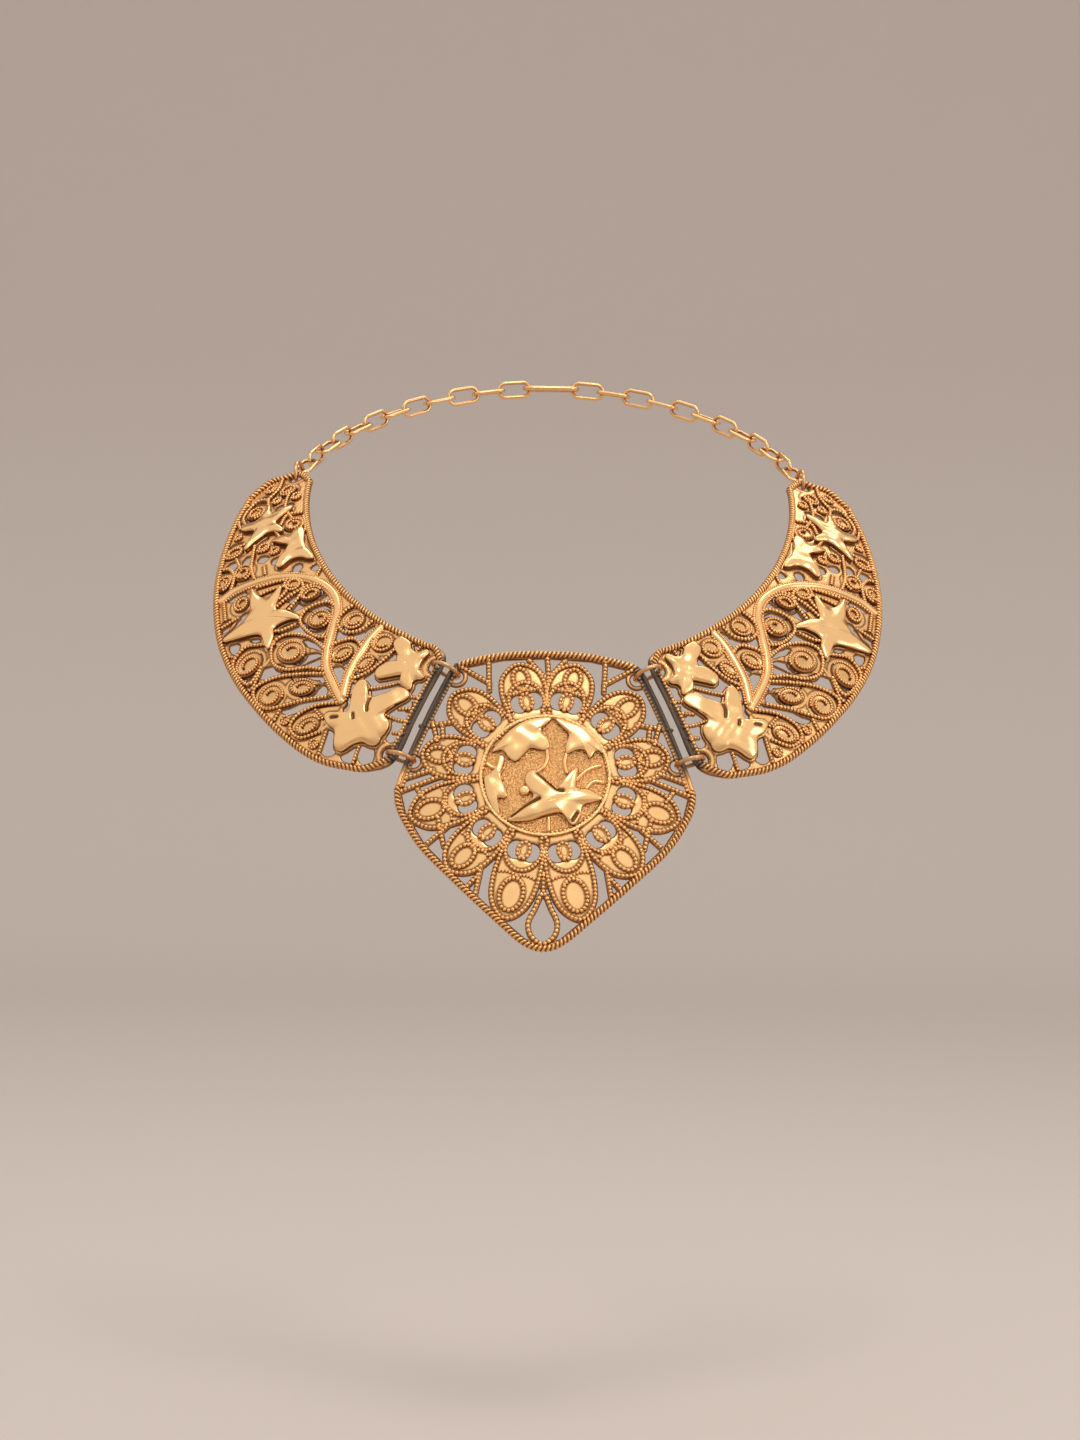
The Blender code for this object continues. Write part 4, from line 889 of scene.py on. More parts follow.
# Leaves and bands of the medallion, in millimetres from its middle
medallionLeaves = {
    "upperLeft": {"middle": (-5.2, 10.8), "outline": [
        (-13.9, 6.4), (-12.0, 9.2), (-9.2, 12.5), (-5.9, 14.9), (-2.4, 16.0), (1.4, 16.1), (-0.5, 13.7),
        (-1.4, 12.6), (-0.3, 11.0), (0.9, 9.4), (0.6, 7.2), (-1.2, 7.0), (-3.8, 7.5), (-5.4, 6.0),
        (-7.8, 3.7), (-10.0, 5.2), (-11.1, 6.9)]},
    "upperRight": {"middle": (8.6, 10.6), "outline": [
        (2.3, 16.0), (5.4, 15.3), (8.9, 13.8), (12.2, 11.2), (14.6, 8.4), (15.2, 6.2), (13.2, 7.3),
        (11.5, 4.7), (10.9, 6.4), (9.6, 7.4), (7.4, 7.0), (5.5, 6.0), (5.2, 7.9), (5.6, 9.8), (6.0, 11.6),
        (4.2, 13.5)]},
    "left": {"middle": (-12.9, -3.0), "outline": [
        (-11.8, 5.6), (-10.6, 4.6), (-11.3, 1.3), (-11.3, -1.2), (-10.2, -4.1), (-9.8, -6.5), (-12.2, -6.6),
        (-12.6, -8.4), (-11.3, -11.5), (-13.2, -9.8), (-14.7, -6.6), (-15.5, -3.4), (-15.6, -0.6),
        (-14.0, 0.4), (-12.4, 3.0)]},
    "star": {"middle": (1.8, -7.2), "outline": [
        (-4.8, 0.4), (-3.4, 1.4), (-2.0, 0.9), (0.6, -1.7), (3.6, -3.9), (4.8, -1.4), (7.0, 1.6), (8.6, 2.4),
        (8.2, -0.6), (8.2, -3.6), (11.2, -3.9), (15.0, -6.0), (12.6, -7.3), (10.0, -8.2), (9.2, -11.0),
        (7.5, -14.0), (6.4, -13.2), (4.4, -10.6), (0.4, -11.2), (-4.0, -12.9), (-9.6, -12.8),
        (-6.2, -9.4), (-3.0, -6.2), (-4.0, -4.6), (-5.2, -2.0)],
        "grooves": [[(-1.9, 0.2), (0.8, -2.2), (3.4, -4.4), (4.6, -4.6)],
                    [(-8.4, -11.6), (-4.6, -8.6), (-1.4, -6.8)], [(7.2, -12.8), (8.4, -10.6)]]},
}
medallionBands = [
    [(0.2, 7.6), (0.5, 5.0), (-0.4, 2.4), (-2.4, 0.6)], [(5.4, 6.4), (5.0, 3.6), (5.6, 0.6)],
    [(7.6, -1.6), (9.6, 0.6), (11.6, 2.2), (14.4, 3.2)], [(1.1, -11.6), (1.1, -15.6)],
    [(-15.4, 3.4), (-13.4, 2.0), (-12.0, 2.6)], [(10.4, -3.6), (12.6, -1.4), (15.2, -1.6)],
]
pellet = {"place": (-5.3, -4.4), "radius": 1.5}


def makeMedallion():
    # sanded ground, polished leaves, bands and a pellet
    makePiece("medallion_ground", [medallionGround()], sandedGold, "centre_panel")
    leaves = [leaf(centreBend, "star" if name == "star" else "medallion", np.array(row["middle"]) / 1000,
                   np.array(row["outline"]) / 1000,
                   grooves=[np.array(path) / 1000 for path in row.get("grooves", ())])
              for name, row in medallionLeaves.items()]
    place = np.array(pellet["place"]) / 1000
    leaves.append(leaf(centreBend, "pellet", place, disc(place, pellet["radius"] / 1000, 16)))
    leaves += [tube(centreBend, smoothPath(np.array(path) / 1000, 0.0005), 0.0013, 0.00055, 10, polish=0.8)
               for path in medallionBands]
    makePiece("medallion_leaves", leaves, polishedGold, "centre_panel")


makeCentre()
makeMedallion()

# Polished leaves: how far each outline grows, in metres, and points (along, across) in
# thousandths of the plate. The tables down to the floors have such points too
starLeaves = {
    "front": {"growth": 0.0, "middle": (92, 205), "outline": [
        (160, 40), (142, 34), (127, 50), (102, 100), (82, 85), (64, 55), (56, 80), (60, 150), (52, 215),
        (32, 245), (32, 275), (50, 300), (44, 370), (60, 366), (78, 345), (86, 290), (108, 320),
        (130, 362), (142, 350), (149, 310), (140, 236), (126, 208), (132, 165), (147, 140), (163, 95)]},
    "low": {"growth": 0.0001, "middle": (98, 665), "outline": [
        (163, 421), (150, 412), (136, 445), (119, 492), (96, 442), (77, 378), (58, 372), (42, 402),
        (42, 440), (56, 490), (70, 565), (63, 600), (50, 635), (46, 700), (50, 765), (48, 800),
        (62, 815), (78, 798), (92, 825), (104, 888), (118, 880), (128, 838), (140, 775), (160, 765),
        (177, 722), (164, 680), (141, 640), (150, 560), (163, 485)],
        "grooves": [[(116, 505), (112, 550), (104, 590)], [(160, 720), (150, 700)], [(126, 640),
                    (120, 665)]]},
    "middle": {"growth": -0.0005, "middle": (478, 615), "outline": [
        (411, 366), (425, 372), (462, 428), (479, 478), (500, 430), (528, 376), (540, 400), (530, 500),
        (546, 570), (585, 622), (577, 662), (545, 680), (521, 700), (507, 800), (503, 950), (490, 965),
        (475, 860), (457, 750), (440, 692), (402, 702), (392, 672), (410, 592), (430, 552), (422, 450),
        (404, 392)]},
    "upper": {"growth": -0.0003, "middle": (650, 200), "outline": [
        (735, 85), (700, 66), (652, 85), (602, 60), (575, 60), (580, 115), (602, 182), (607, 260),
        (598, 350), (612, 400), (635, 362), (651, 302), (672, 268), (690, 330), (718, 425), (728, 330),
        (713, 242), (733, 165)]},
    "rear": {"growth": 0.0, "middle": (795, 500), "outline": [
        (842, 205), (828, 220), (808, 330), (790, 375), (752, 290), (744, 320), (760, 440), (750, 560),
        (730, 690), (742, 712), (772, 645), (792, 640), (806, 760), (820, 830), (830, 800), (826, 660),
        (838, 590), (876, 545), (872, 505), (838, 450), (838, 350)]},
}
# Openings cut through between the branches, front end first
openingRows = [
    [(128, 45), (114, 40), (86, 68), (94, 88), (122, 62)],
    [(149, 153), (135, 165), (127, 190), (139, 226), (147, 205)],
    [(174, 262), (165, 270), (156, 300), (147, 380), (146, 415), (157, 410), (162, 363), (171, 310)],
    [(139, 370), (125, 356), (110, 336), (88, 288), (89, 306), (103, 356), (120, 424), (127, 447),
     (138, 430)],
    [(86, 350), (79, 373), (94, 430), (113, 474), (123, 464), (103, 398)],
    [(48, 270), (28, 280), (26, 330), (28, 366), (45, 320)],
    [(42, 360), (30, 385), (24, 420), (36, 430), (41, 400)],
    [(40, 450), (30, 485), (45, 537), (60, 585), (67, 573), (64, 535), (53, 490)],
    [(45, 560), (26, 545), (26, 580), (42, 590)],
    [(46, 625), (26, 615), (25, 735), (34, 755), (44, 700)],
    [(80, 812), (70, 810), (53, 855), (48, 920), (46, 945), (62, 925), (79, 850)],
    [(88, 850), (76, 925), (94, 925), (99, 905)],
    [(138, 785), (120, 890), (128, 925), (142, 900), (150, 790)],
    [(193, 540), (180, 545), (162, 558), (139, 615), (145, 632), (165, 600), (188, 572)],
    [(188, 452), (176, 430), (167, 510), (174, 525), (190, 490)],
    [(238, 430), (212, 434), (200, 478), (205, 492), (230, 465)],
    [(204, 315), (196, 325), (186, 370), (184, 412), (194, 424), (199, 386)],
    [(230, 318), (217, 372), (226, 390), (235, 360)],
    [(248, 80), (238, 90), (230, 155), (237, 174), (248, 130)],
    [(270, 178), (254, 150), (244, 200), (252, 215)],
    [(302, 185), (286, 195), (284, 260), (293, 285), (309, 230)],
    [(429, 555), (433, 480), (417, 412), (392, 388), (362, 390), (380, 430), (399, 478), (414, 535)],
    [(489, 366), (481, 290), (469, 205), (446, 138), (417, 108), (428, 155), (451, 220), (467, 295),
     (479, 362)],
    [(468, 411), (470, 350), (462, 290), (444, 226), (446, 280), (450, 357), (457, 402)],
    [(432, 290), (427, 232), (402, 194), (378, 186), (364, 220), (384, 224), (399, 236), (415, 266)],
    [(381, 345), (362, 315), (352, 288), (342, 330), (358, 358)],
    [(334, 262), (327, 300), (317, 340), (309, 325), (320, 278)],
    [(352, 452), (334, 400), (310, 385), (300, 405), (317, 424), (338, 452)],
    [(335, 592), (322, 540), (312, 500), (298, 455), (284, 460), (275, 495), (294, 535), (314, 580)],
    [(299, 668), (289, 600), (273, 556), (252, 530), (249, 560), (267, 592), (283, 645)],
    [(252, 700), (243, 640), (228, 587), (212, 610), (226, 660), (240, 708)],
    [(262, 855), (250, 780), (234, 718), (219, 668), (195, 625), (178, 590), (176, 610), (193, 660),
     (210, 712), (230, 775), (247, 852)],
    [(242, 508), (228, 532), (233, 558), (245, 545)],
    [(368, 812), (357, 740), (341, 678), (330, 700), (341, 762), (351, 818)],
    [(406, 935), (397, 868), (375, 832), (374, 890)],
    [(373, 905), (357, 875), (343, 905), (356, 945)],
    [(480, 905), (465, 858), (456, 900)],
    [(457, 742), (453, 676), (441, 710)],
    [(532, 735), (515, 722), (500, 820), (498, 920), (510, 930), (514, 840)],
    [(545, 930), (540, 865), (524, 900), (528, 940)],
    [(534, 562), (528, 520), (516, 545)],
    [(505, 578), (499, 550), (488, 572)],
    [(612, 590), (600, 500), (585, 418), (573, 392), (572, 430), (585, 512), (598, 592)],
    [(617, 842), (606, 768), (586, 700), (583, 750), (594, 835)],
    [(575, 312), (561, 238), (538, 202), (538, 238), (555, 312)],
    [(547, 312), (535, 238), (520, 188), (520, 232), (533, 312)],
    [(494, 204), (492, 148), (477, 93), (450, 73), (432, 90), (451, 128), (470, 168), (482, 206)],
    [(592, 226), (585, 195), (570, 212), (575, 252)],
    [(554, 110), (556, 62), (540, 85)],
    [(684, 535), (672, 470), (663, 505), (672, 545)],
    [(708, 685), (697, 612), (686, 650), (695, 705)],
    [(720, 310), (700, 262), (690, 315), (704, 335)],
    [(653, 405), (647, 345), (633, 380), (640, 415)],
    [(762, 550), (748, 490), (734, 570), (745, 625)],
    [(650, 880), (640, 790), (628, 860), (636, 920)],
    [(716, 870), (708, 780), (692, 840), (702, 920)],
    [(782, 900), (776, 790), (760, 850), (768, 930)],
    [(778, 240), (768, 120), (748, 180), (758, 260)],
    [(868, 400), (866, 240), (852, 280), (852, 400)],
    [(862, 860), (856, 700), (842, 760), (848, 860)],
    [(930, 790), (925, 600), (908, 640), (912, 780)],
    [(932, 440), (926, 240), (906, 300), (912, 430)],
]
# Banded stems and smooth side branches
stemRows = [
    [(165, 600), (200, 550), (250, 480), (285, 390), (325, 260), (370, 140), (430, 85), (500, 140),
     (555, 290), (590, 500), (610, 780), (605, 970)],
    [(172, 570), (198, 420), (212, 280), (222, 150), (224, 20)],
]
branchRows = [
    [(165, 600), (205, 700), (226, 830), (220, 920), (190, 925), (163, 820)],
    [(235, 500), (285, 620), (325, 760), (342, 900), (322, 965), (290, 940), (268, 860), (240, 740),
     (200, 620)],
    [(285, 400), (345, 410), (395, 510), (402, 630), (360, 710), (320, 670), (285, 560), (250, 500)],
    [(395, 620), (425, 720), (444, 820), (432, 940), (395, 990), (360, 920), (372, 780)],
    [(312, 330), (345, 385), (402, 395), (425, 300), (408, 160), (372, 140)],
    [(345, 20), (345, 120), (330, 210), (292, 225), (262, 150), (258, 20)],
    [(152, 20), (150, 160), (160, 320), (180, 430), (196, 440)],
    [(215, 240), (254, 220), (284, 330), (274, 440)],
    [(606, 840), (655, 795), (692, 860), (702, 980)],
    [(440, 100), (480, 145), (494, 300), (490, 440), (480, 560)],
    [(455, 420), (475, 300), (500, 235), (535, 260), (560, 400), (580, 600)],
    [(500, 500), (512, 380), (530, 360), (545, 460), (552, 580)],
    [(608, 600), (660, 620), (735, 600)],
    [(700, 300), (745, 360), (790, 440)],
    [(700, 160), (722, 40), (790, 20)],
    [(806, 40), (812, 260), (775, 330)],
    [(790, 200), (850, 300), (910, 300)],
    [(870, 540), (905, 600), (915, 780), (870, 870), (822, 760)],
    [(905, 600), (940, 500), (985, 520)],
    [(825, 840), (850, 900), (862, 980)],
    [(448, 620), (420, 550), (405, 420)],
]
# Thinner wires between the branches
twigRows = [
    [(155, 800), (140, 980)], [(265, 870), (258, 980)], [(372, 780), (350, 900), (348, 980)],
    [(190, 460), (168, 440)], [(140, 450), (110, 390), (80, 330)], [(52, 420), (6, 410)],
    [(70, 580), (40, 600), (6, 610)], [(82, 820), (75, 970)], [(96, 20), (96, 100)],
    [(530, 780), (535, 980)], [(500, 150), (530, 60), (560, 20)], [(760, 720), (762, 980)],
    [(210, 900), (215, 980)], [(440, 900), (455, 980)], [(545, 900), (600, 900)], [(15, 500), (50, 520)],
    [(35, 700), (6, 700)], [(175, 750), (205, 730)], [(145, 100), (125, 20)], [(640, 500), (606, 500)],
    [(660, 720), (720, 800)], [(910, 900), (920, 980)],
]
# Floors at the heads of the branches
floorRows = [
    [(158, 620), (180, 620), (214, 730), (230, 860), (215, 940), (186, 920), (165, 800)],
    [(232, 500), (262, 500), (305, 680), (340, 840), (338, 940), (300, 970), (262, 860), (240, 720)],
    [(285, 400), (345, 420), (398, 520), (402, 640), (350, 720), (316, 660), (300, 540)],
    [(388, 600), (412, 660), (442, 800), (432, 930), (395, 990), (358, 920), (372, 760)],
    [(310, 300), (345, 380), (405, 400), (425, 280), (405, 120), (365, 170)],
    [(222, 10), (215, 220), (197, 360), (182, 440), (160, 340), (152, 120), (168, 10)],
    [(258, 10), (262, 140), (290, 220), (340, 210), (345, 10)],
    [(215, 240), (256, 220), (282, 340), (274, 450), (235, 420)],
    [(604, 840), (655, 800), (690, 860), (700, 990), (604, 990)],
    [(440, 80), (480, 140), (492, 300), (448, 300)],
    [(718, 40), (790, 20), (806, 280), (750, 360), (700, 180)],
    [(845, 600), (895, 560), (915, 780), (860, 860), (820, 740)],
]
# Spiral cups: place, radius, stretch and the place towards which each is long
cupRows = [
    (0.194, 0.84, 0.0026, 1.4, 0.160, 0.68), (0.302, 0.86, 0.0036, 1.0, 0.270, 0.80),
    (0.262, 0.68, 0.0026, 1.5, 0.205, 0.57), (0.350, 0.57, 0.0038, 1.2, 0.270, 0.50),
    (0.402, 0.85, 0.0040, 1.1, 0.398, 0.68), (0.376, 0.28, 0.0034, 1.0, 0.320, 0.32),
    (0.300, 0.12, 0.0031, 1.0, 0.326, 0.18), (0.248, 0.34, 0.0025, 1.3, 0.262, 0.44),
    (0.188, 0.13, 0.0032, 1.0, 0.222, 0.14), (0.185, 0.31, 0.0022, 1.4, 0.192, 0.44),
    (0.655, 0.91, 0.0026, 1.2, 0.606, 0.92), (0.762, 0.18, 0.0028, 1.2, 0.720, 0.12),
    (0.868, 0.70, 0.0028, 1.0, 0.820, 0.70), (0.464, 0.22, 0.0024, 1.3, 0.450, 0.10),
    (0.655, 0.71, 0.0030, 1.2, 0.610, 0.68), (0.525, 0.30, 0.0024, 1.2, 0.562, 0.36),
    (0.560, 0.74, 0.0024, 1.2, 0.606, 0.70), (0.925, 0.34, 0.0024, 1.0, 0.900, 0.50),
    (0.745, 0.84, 0.0026, 1.2, 0.755, 0.99),
]
# Holes for the rings: inset from the plate's end in metres, and place across as a share
sideEyes = {"upper": (0.0028, 0.150), "lower": (0.0023, 0.860), "rear": (0.0022, 0.300)}


def laidOut(rows):
    # rows of thousandths laid out flat, kept inside the rope
    rows = np.array(rows) / 1000
    margin = 0.0019 / sideWidth(rows[:, 0])
    return sideFlat(rows[:, 0], np.clip(rows[:, 1], margin, 1.0 - margin))


def sideBorder(inset):
    # closed outline of the side plate, set in from its edge, as in the solids
    low = inset / sideLength
    high = 1.0 - low
    corner = (collar["cornerRadius"] + inset) / sideLength
    shares = np.concatenate([[low + corner], np.linspace(0.08, 0.94, 22), [high - corner]])
    inner = [(share, inset / sideWidth(share)) for share in shares]
    outer = [(share, 1.0 - inset / sideWidth(share)) for share in shares[::-1]]
    front = collar["cornerRadius"] + inset
    ends = {}
    for name, share in (("rear", high), ("front", low)):
        width = float(sideWidth(share))
        ends[name] = [(share, across) for across in (front / width, 0.5, 1.0 - front / width)]
    return (sideFlat(*np.array(inner).T), sideFlat(*np.array(ends["rear"]).T),
            sideFlat(*np.array(outer).T), sideFlat(*np.array(ends["front"][::-1]).T))


def spiral(middle, radius, stretch, direction):
    # from the rim inwards, one turn and a half
    turn = np.linspace(0.0, 3.0 * math.pi, 28)
    reach = radius * (1.0 - 0.62 * turn / turn[-1])
    side = np.array([-direction[1], direction[0]])
    return (middle + (reach * np.cos(turn))[:, None] * stretch * direction
            + (reach * np.sin(turn))[:, None] * side)


# Wires by lift and radius, and the half widths of the floor that is kept under lines
sideWires = {"branch": (0.0014, 0.00056), "twig": (0.0012, 0.00050), "stem": (0.0011, 0.00045),
             "cup": (0.0015, 0.00044), "second": (0.0011, 0.00056)}
sideFlanges = {"branch": 0.00040, "twig": 0.00035, "stem": 0.0014, "leaf": 0.0005, "rope": 0.0011,
               "facing": 0.0010, "outline": 0.0002}
sideForm = {"stemRadius": 0.00115, "cupMargin": 0.0006, "cupRim": 0.0015, "cupHollow": 0.0010,
            "fillMargin": 0.0004, "openingGrowth": 0.0006, "cell": 0.00032, "floorLift": 0.0010}
# Small cups in the widest bare places: most of them, their radii, and the search's cells
filling = {"count": 26, "least": 0.0015, "most": 0.0026, "cell": 0.0006}


def openPlaces(floors, flanges):
    # middles and radii of the small cups that fill the widest bare places, the widest first
    rim = smoothPath(np.vstack(sideBorder(0.0022)), 0.0020, True)
    low, high = rim.min(axis=0), rim.max(axis=0)
    grid = np.stack(np.meshgrid(np.arange(low[0], high[0], filling["cell"]),
                                np.arange(low[1], high[1], filling["cell"]), indexing="ij"), -1)
    points = grid.reshape(-1, 2)
    room = outlineDistance(points, rim)
    points, room = points[room > 0], room[room > 0]
    for outline in floors:
        room = np.minimum(room, -outlineDistance(points, outline))
    for path, halfWidth in flanges:
        room = np.minimum(room, pathDistance(points, path) - halfWidth)
    found = []
    for _ in range(filling["count"]):
        best = int(room.argmax())
        if room[best] < filling["least"]:
            break
        radius = min(float(room[best]), filling["most"])
        found.append((points[best], radius))
        room = np.minimum(room, np.linalg.norm(points - points[best], axis=1) - radius)
    return found


def sideWire(path, kind):
    # a beaded wire with its kind's lift and radius
    lift, radius = sideWires[kind]
    return beadedWire(sideBend, path, lift, radius=radius)


def sideEyePlaces():
    # the holes for the rings, at insets from the plate's two ends
    places = []
    for name, (inset, across) in sideEyes.items():
        along = inset / sideLength
        places.append(sideFlat(1.0 - along if name == "rear" else along, across))
    return places


def sideSurfaces():
    # branches, stems, leaves and cups on one floor with openings, inside a rope
    floors = [smoothPath(laidOut(rows), 0.0009, True) for rows in floorRows]
    floors += [disc(point, eye["rim"]) for point in sideEyePlaces()]
    holes = [disc(point, eye["hole"]) for point in sideEyePlaces()]
    branches = [smoothPath(laidOut(rows), 0.0010) for rows in branchRows]
    flanges = [(path, sideFlanges["branch"]) for path in branches]
    for kind, lines in (("twig", twigRows), ("stem", stemRows)):
        flanges += [(smoothPath(laidOut(rows), 0.0010), sideFlanges[kind]) for rows in lines]

    wires = [sideWire(path, "branch") for path in branches]
    wires += [sideWire(laidOut(rows), "twig") for rows in twigRows]
    bands = []
    for rows in stemRows:
        path = smoothPath(laidOut(rows), 0.0006)
        bands.append(tube(sideBend, path, 0.0009, sideForm["stemRadius"], 14, flat=0.95, polish=0.8))
        wires += [sideWire(offsetPath(path, side * 0.00125)[::3], "stem") for side in (-1, 1)]
    leaves = []
    for row in starLeaves.values():
        outline = laidOut(row["outline"])
        floors.append(grown(smoothPath(outline, leafForm["soften"], True), row["growth"]))
        flanges.append((looped(floors[-1]), sideFlanges["leaf"]))
        leaves.append(leaf(sideBend, "side", sideFlat(*np.array(row["middle"]) / 1000), outline,
                           row["growth"], [laidOut(path) for path in row.get("grooves", ())]))

    cups = []
    for along, across, radius, stretch, towardsAlong, towardsAcross in cupRows:
        middle = sideFlat(along, across)
        towards = unit(sideFlat(towardsAlong, towardsAcross) - middle)
        cups.append((middle, radius, stretch, towards))
        floors.append(oval(middle, radius * stretch + sideForm["cupMargin"],
                           radius + sideForm["cupMargin"], towards, 20))
    openings = [grown(smoothPath(laidOut(rows), 0.0007, True), sideForm["openingGrowth"])
                for rows in openingRows]
    cups += [(middle, radius - sideForm["fillMargin"], 1.0, np.array([0.6, 0.8]))
             for middle, radius in openPlaces(floors + openings, flanges)]
    dishes = [dish(sideBend, middle, radius * stretch, radius, towards, sideForm["cupRim"],
                   sideForm["cupHollow"]) for middle, radius, stretch, towards in cups]
    wires += [sideWire(spiral(*cup), "cup") for cup in cups]

    inner, rear, outer, front = sideBorder(rope["radius"])
    long = np.vstack([front[-1:], inner, rear, outer, front[:1]])
    inset, lift, radius = edgeWires["plain"]
    facing = smoothPath(sideBorder(inset)[3], 0.0008)
    ropes = [ropeWire(sideBend, long), tube(sideBend, facing, lift, radius, 10),
             sideWire(sideBorder(edgeWires["beaded"][0])[3], "second")]
    flanges += [(smoothPath(long, 0.0010), sideFlanges["rope"]),
                (smoothPath(sideBorder(inset)[3], 0.0010), sideFlanges["facing"])]
    flanges += [(looped(outline), sideFlanges["outline"]) for outline in floors]
    rim = smoothPath(np.vstack(sideBorder(0.0004)), 0.0015, True)
    floor = floorPlate(sideBend, rim, [rim], openings, flanges, holes, [], sideForm["cell"],
                       sideForm["floorLift"], polish=0.45)
    return {"floor": ([floor], castGold), "wires": (wires, castGold), "bands": (bands, polishedGold),
            "dishes": (dishes, polishedGold), "leaves": (leaves, polishedGold), "rope": (ropes, castGold)}


sideParts = sideSurfaces()
for handSide, mirrored in (("right", False), ("left", True)):
    for partName, (surfaces, material) in sideParts.items():
        makePiece(f"{handSide}_{partName}", surfaces, material, f"{handSide}_collar_panel",
                  mirrored=mirrored)

ringForm = {"around": 44, "sides": 14}


def roundLink(node, wire, straight):
    # a torus in the link's own directions, found from the spread of its solid's points, and
    # drawn out along its long way by the straight
    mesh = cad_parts[node].data
    points = np.empty(len(mesh.vertices) * 3)
    mesh.vertices.foreach_get("co", points)
    points = points.reshape(-1, 3)
    middle = (points.max(axis=0) + points.min(axis=0)) / 2
    _, axes = np.linalg.eigh(np.cov((points - middle).T))
    normal, short, long = axes[:, 0], axes[:, 1], axes[:, 2]
    reach = float(np.abs((points - middle) @ long).max())
    radius = reach - wire / 2 - straight / 2
    turn, around = turns(ringForm["around"]), turns(ringForm["sides"])
    out = np.cos(turn)[:, None] * long + np.sin(turn)[:, None] * short
    shift = np.where(np.cos(turn) > 0, straight / 2, -straight / 2)[:, None] * long
    centre = middle + radius * out + shift
    points = (centre[:, None, :] + wire / 2 * (np.cos(around)[None, :, None] * out[:, None, :]
                                               + np.sin(around)[None, :, None] * normal))
    # painted shade on the inner side of the link
    innerShade = 0.5 * np.clip(-np.cos(around), 0.0, 1.0)[None, :] * np.ones((len(turn), 1))
    return surface(points.reshape(-1, 3), gridFaces(len(turn), len(around), wrapRows=True), None,
                   innerShade.ravel(), 0.4)


wireSizes = {
    "panel_ring": (0.0012, 0.0), "end_ring": (0.0012, 0.0), "chain": (0.0011, 0.0052),
    "hook_clasp": (0.0014, 0.0110),
}
for node in sorted(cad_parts):
    for kind, (wire, straight) in wireSizes.items():
        if node.startswith(kind):
            finish, slot = ((copperGold, "coppery_gold") if "ring" in kind
                            else (polishedGold, "polished_gold"))
            makePiece(node + "_wire", [roundLink(node, wire, straight)], finish, node)

def plainMaterial(name, colour, roughness):
    # one colour and one roughness
    finish = Finish(name)
    finish.feed(finish.shader.inputs["Base Color"], colour)
    finish.feed(finish.shader.inputs["Roughness"], roughness)
    return finish.material


def backdrop():
    # floor that curves up into a wall, one sheet
    rise = np.linspace(0.0, math.pi / 2, 16)
    floorLine = np.stack([np.linspace(studio["floorFront"], studio["wallPlace"] - studio["wallBend"], 5),
                          np.full(5, studio["floorHeight"])], -1)
    bend = np.stack([studio["wallPlace"] - studio["wallBend"] + studio["wallBend"] * np.sin(rise),
                     studio["floorHeight"] + studio["wallBend"] * (1 - np.cos(rise))], -1)
    wall = np.stack([np.full(5, studio["wallPlace"]),
                     np.linspace(studio["floorHeight"] + studio["wallBend"], studio["wallTop"], 5)], -1)
    line = np.vstack([floorLine, bend[1:], wall[1:]])
    across = np.array([-studio["halfWidth"], studio["halfWidth"]])
    points = np.stack([np.repeat(across[None, :], len(line), 0), np.repeat(line[:, :1], 2, 1),
                       np.repeat(line[:, 1:], 2, 1)], -1).reshape(-1, 3)
    mesh = bpy.data.meshes.new("backdrop")
    quads = gridFaces(len(line), 2, wrapColumns=False)
    mesh.from_pydata(points.tolist(), [], quads.tolist())
    mesh.shade_smooth()
    item = bpy.data.objects.new("backdrop", mesh)
    bpy.context.scene.collection.objects.link(item)
    mesh.materials.append(plainMaterial("paleLinen", shade(*studio["linen"]), 0.9))


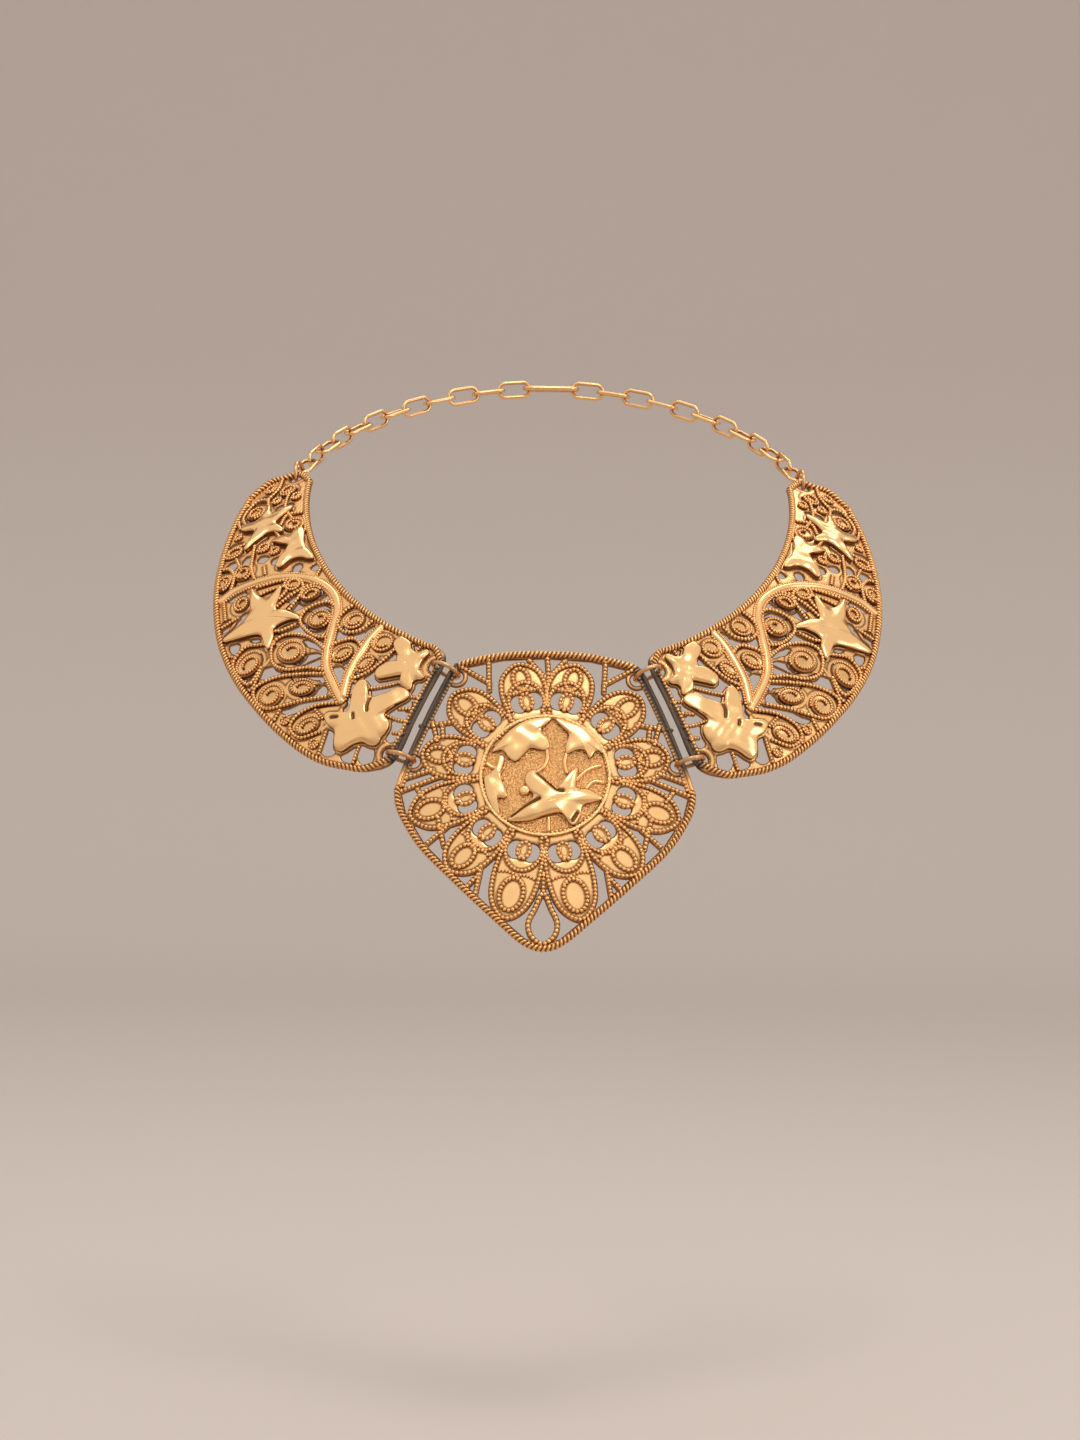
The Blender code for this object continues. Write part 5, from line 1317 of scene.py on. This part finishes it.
def softLight(name, place, target, size, power, colour):
    # a rectangular lamp, turned so that its face looks at the target
    lamp = bpy.data.lights.new(name, "AREA")
    lamp.shape = "RECTANGLE"
    lamp.size, lamp.size_y = size
    lamp.energy = power
    lamp.color = colour
    item = bpy.data.objects.new(name, lamp)
    bpy.context.scene.collection.objects.link(item)
    item.location = place
    aim = np.array(target) - np.array(place)
    heading = math.atan2(aim[1], aim[0]) - math.pi / 2
    pitch = math.atan2(aim[2], math.hypot(aim[0], aim[1])) + math.pi / 2
    item.rotation_euler = Euler((pitch, 0.0, heading))


def paleWorld():
    # brighter above than below, as under an open sky
    world = bpy.data.worlds.new("paleRoom")
    bpy.context.scene.world = world
    world.use_nodes = True
    tree = world.node_tree
    background = tree.nodes["Background"]
    background.inputs["Strength"].default_value = studio["worldStrength"]
    place = tree.nodes.new("ShaderNodeTexCoord")
    split = tree.nodes.new("ShaderNodeSeparateXYZ")
    ramp = tree.nodes.new("ShaderNodeValToRGB")
    share = tree.nodes.new("ShaderNodeMapRange")
    share.inputs["From Min"].default_value = -1.0
    tree.links.new(place.outputs["Generated"], split.inputs[0])
    tree.links.new(split.outputs["Z"], share.inputs["Value"])
    tree.links.new(share.outputs["Result"], ramp.inputs["Fac"])
    tree.links.new(ramp.outputs["Color"], background.inputs["Color"])
    for element, (position, colour) in zip(ramp.color_ramp.elements,
                                           (studio["worldBelow"], studio["worldAbove"])):
        element.position = position
        element.color = shade(*colour)


def makeStudio():
    # the camera at the photograph's place, then backdrop, sky and lamps
    camera = bpy.data.cameras.new("camera")
    camera.lens = studio["lens"]
    camera.sensor_width = 36.0
    camera.clip_start = 0.01
    eyePoint = bpy.data.objects.new("camera", camera)
    bpy.context.scene.collection.objects.link(eyePoint)
    eyePoint.location = studio["cameraPlace"]
    eyePoint.rotation_euler = Euler((math.radians(90.0), math.radians(studio["cameraRoll"]), 0.0))
    bpy.context.scene.camera = eyePoint
    backdrop()
    paleWorld()
    for row in lampRows:
        softLight(*row)
    bpy.context.scene.view_settings.view_transform = "Standard"


makeStudio()
print("necklace: studio made")
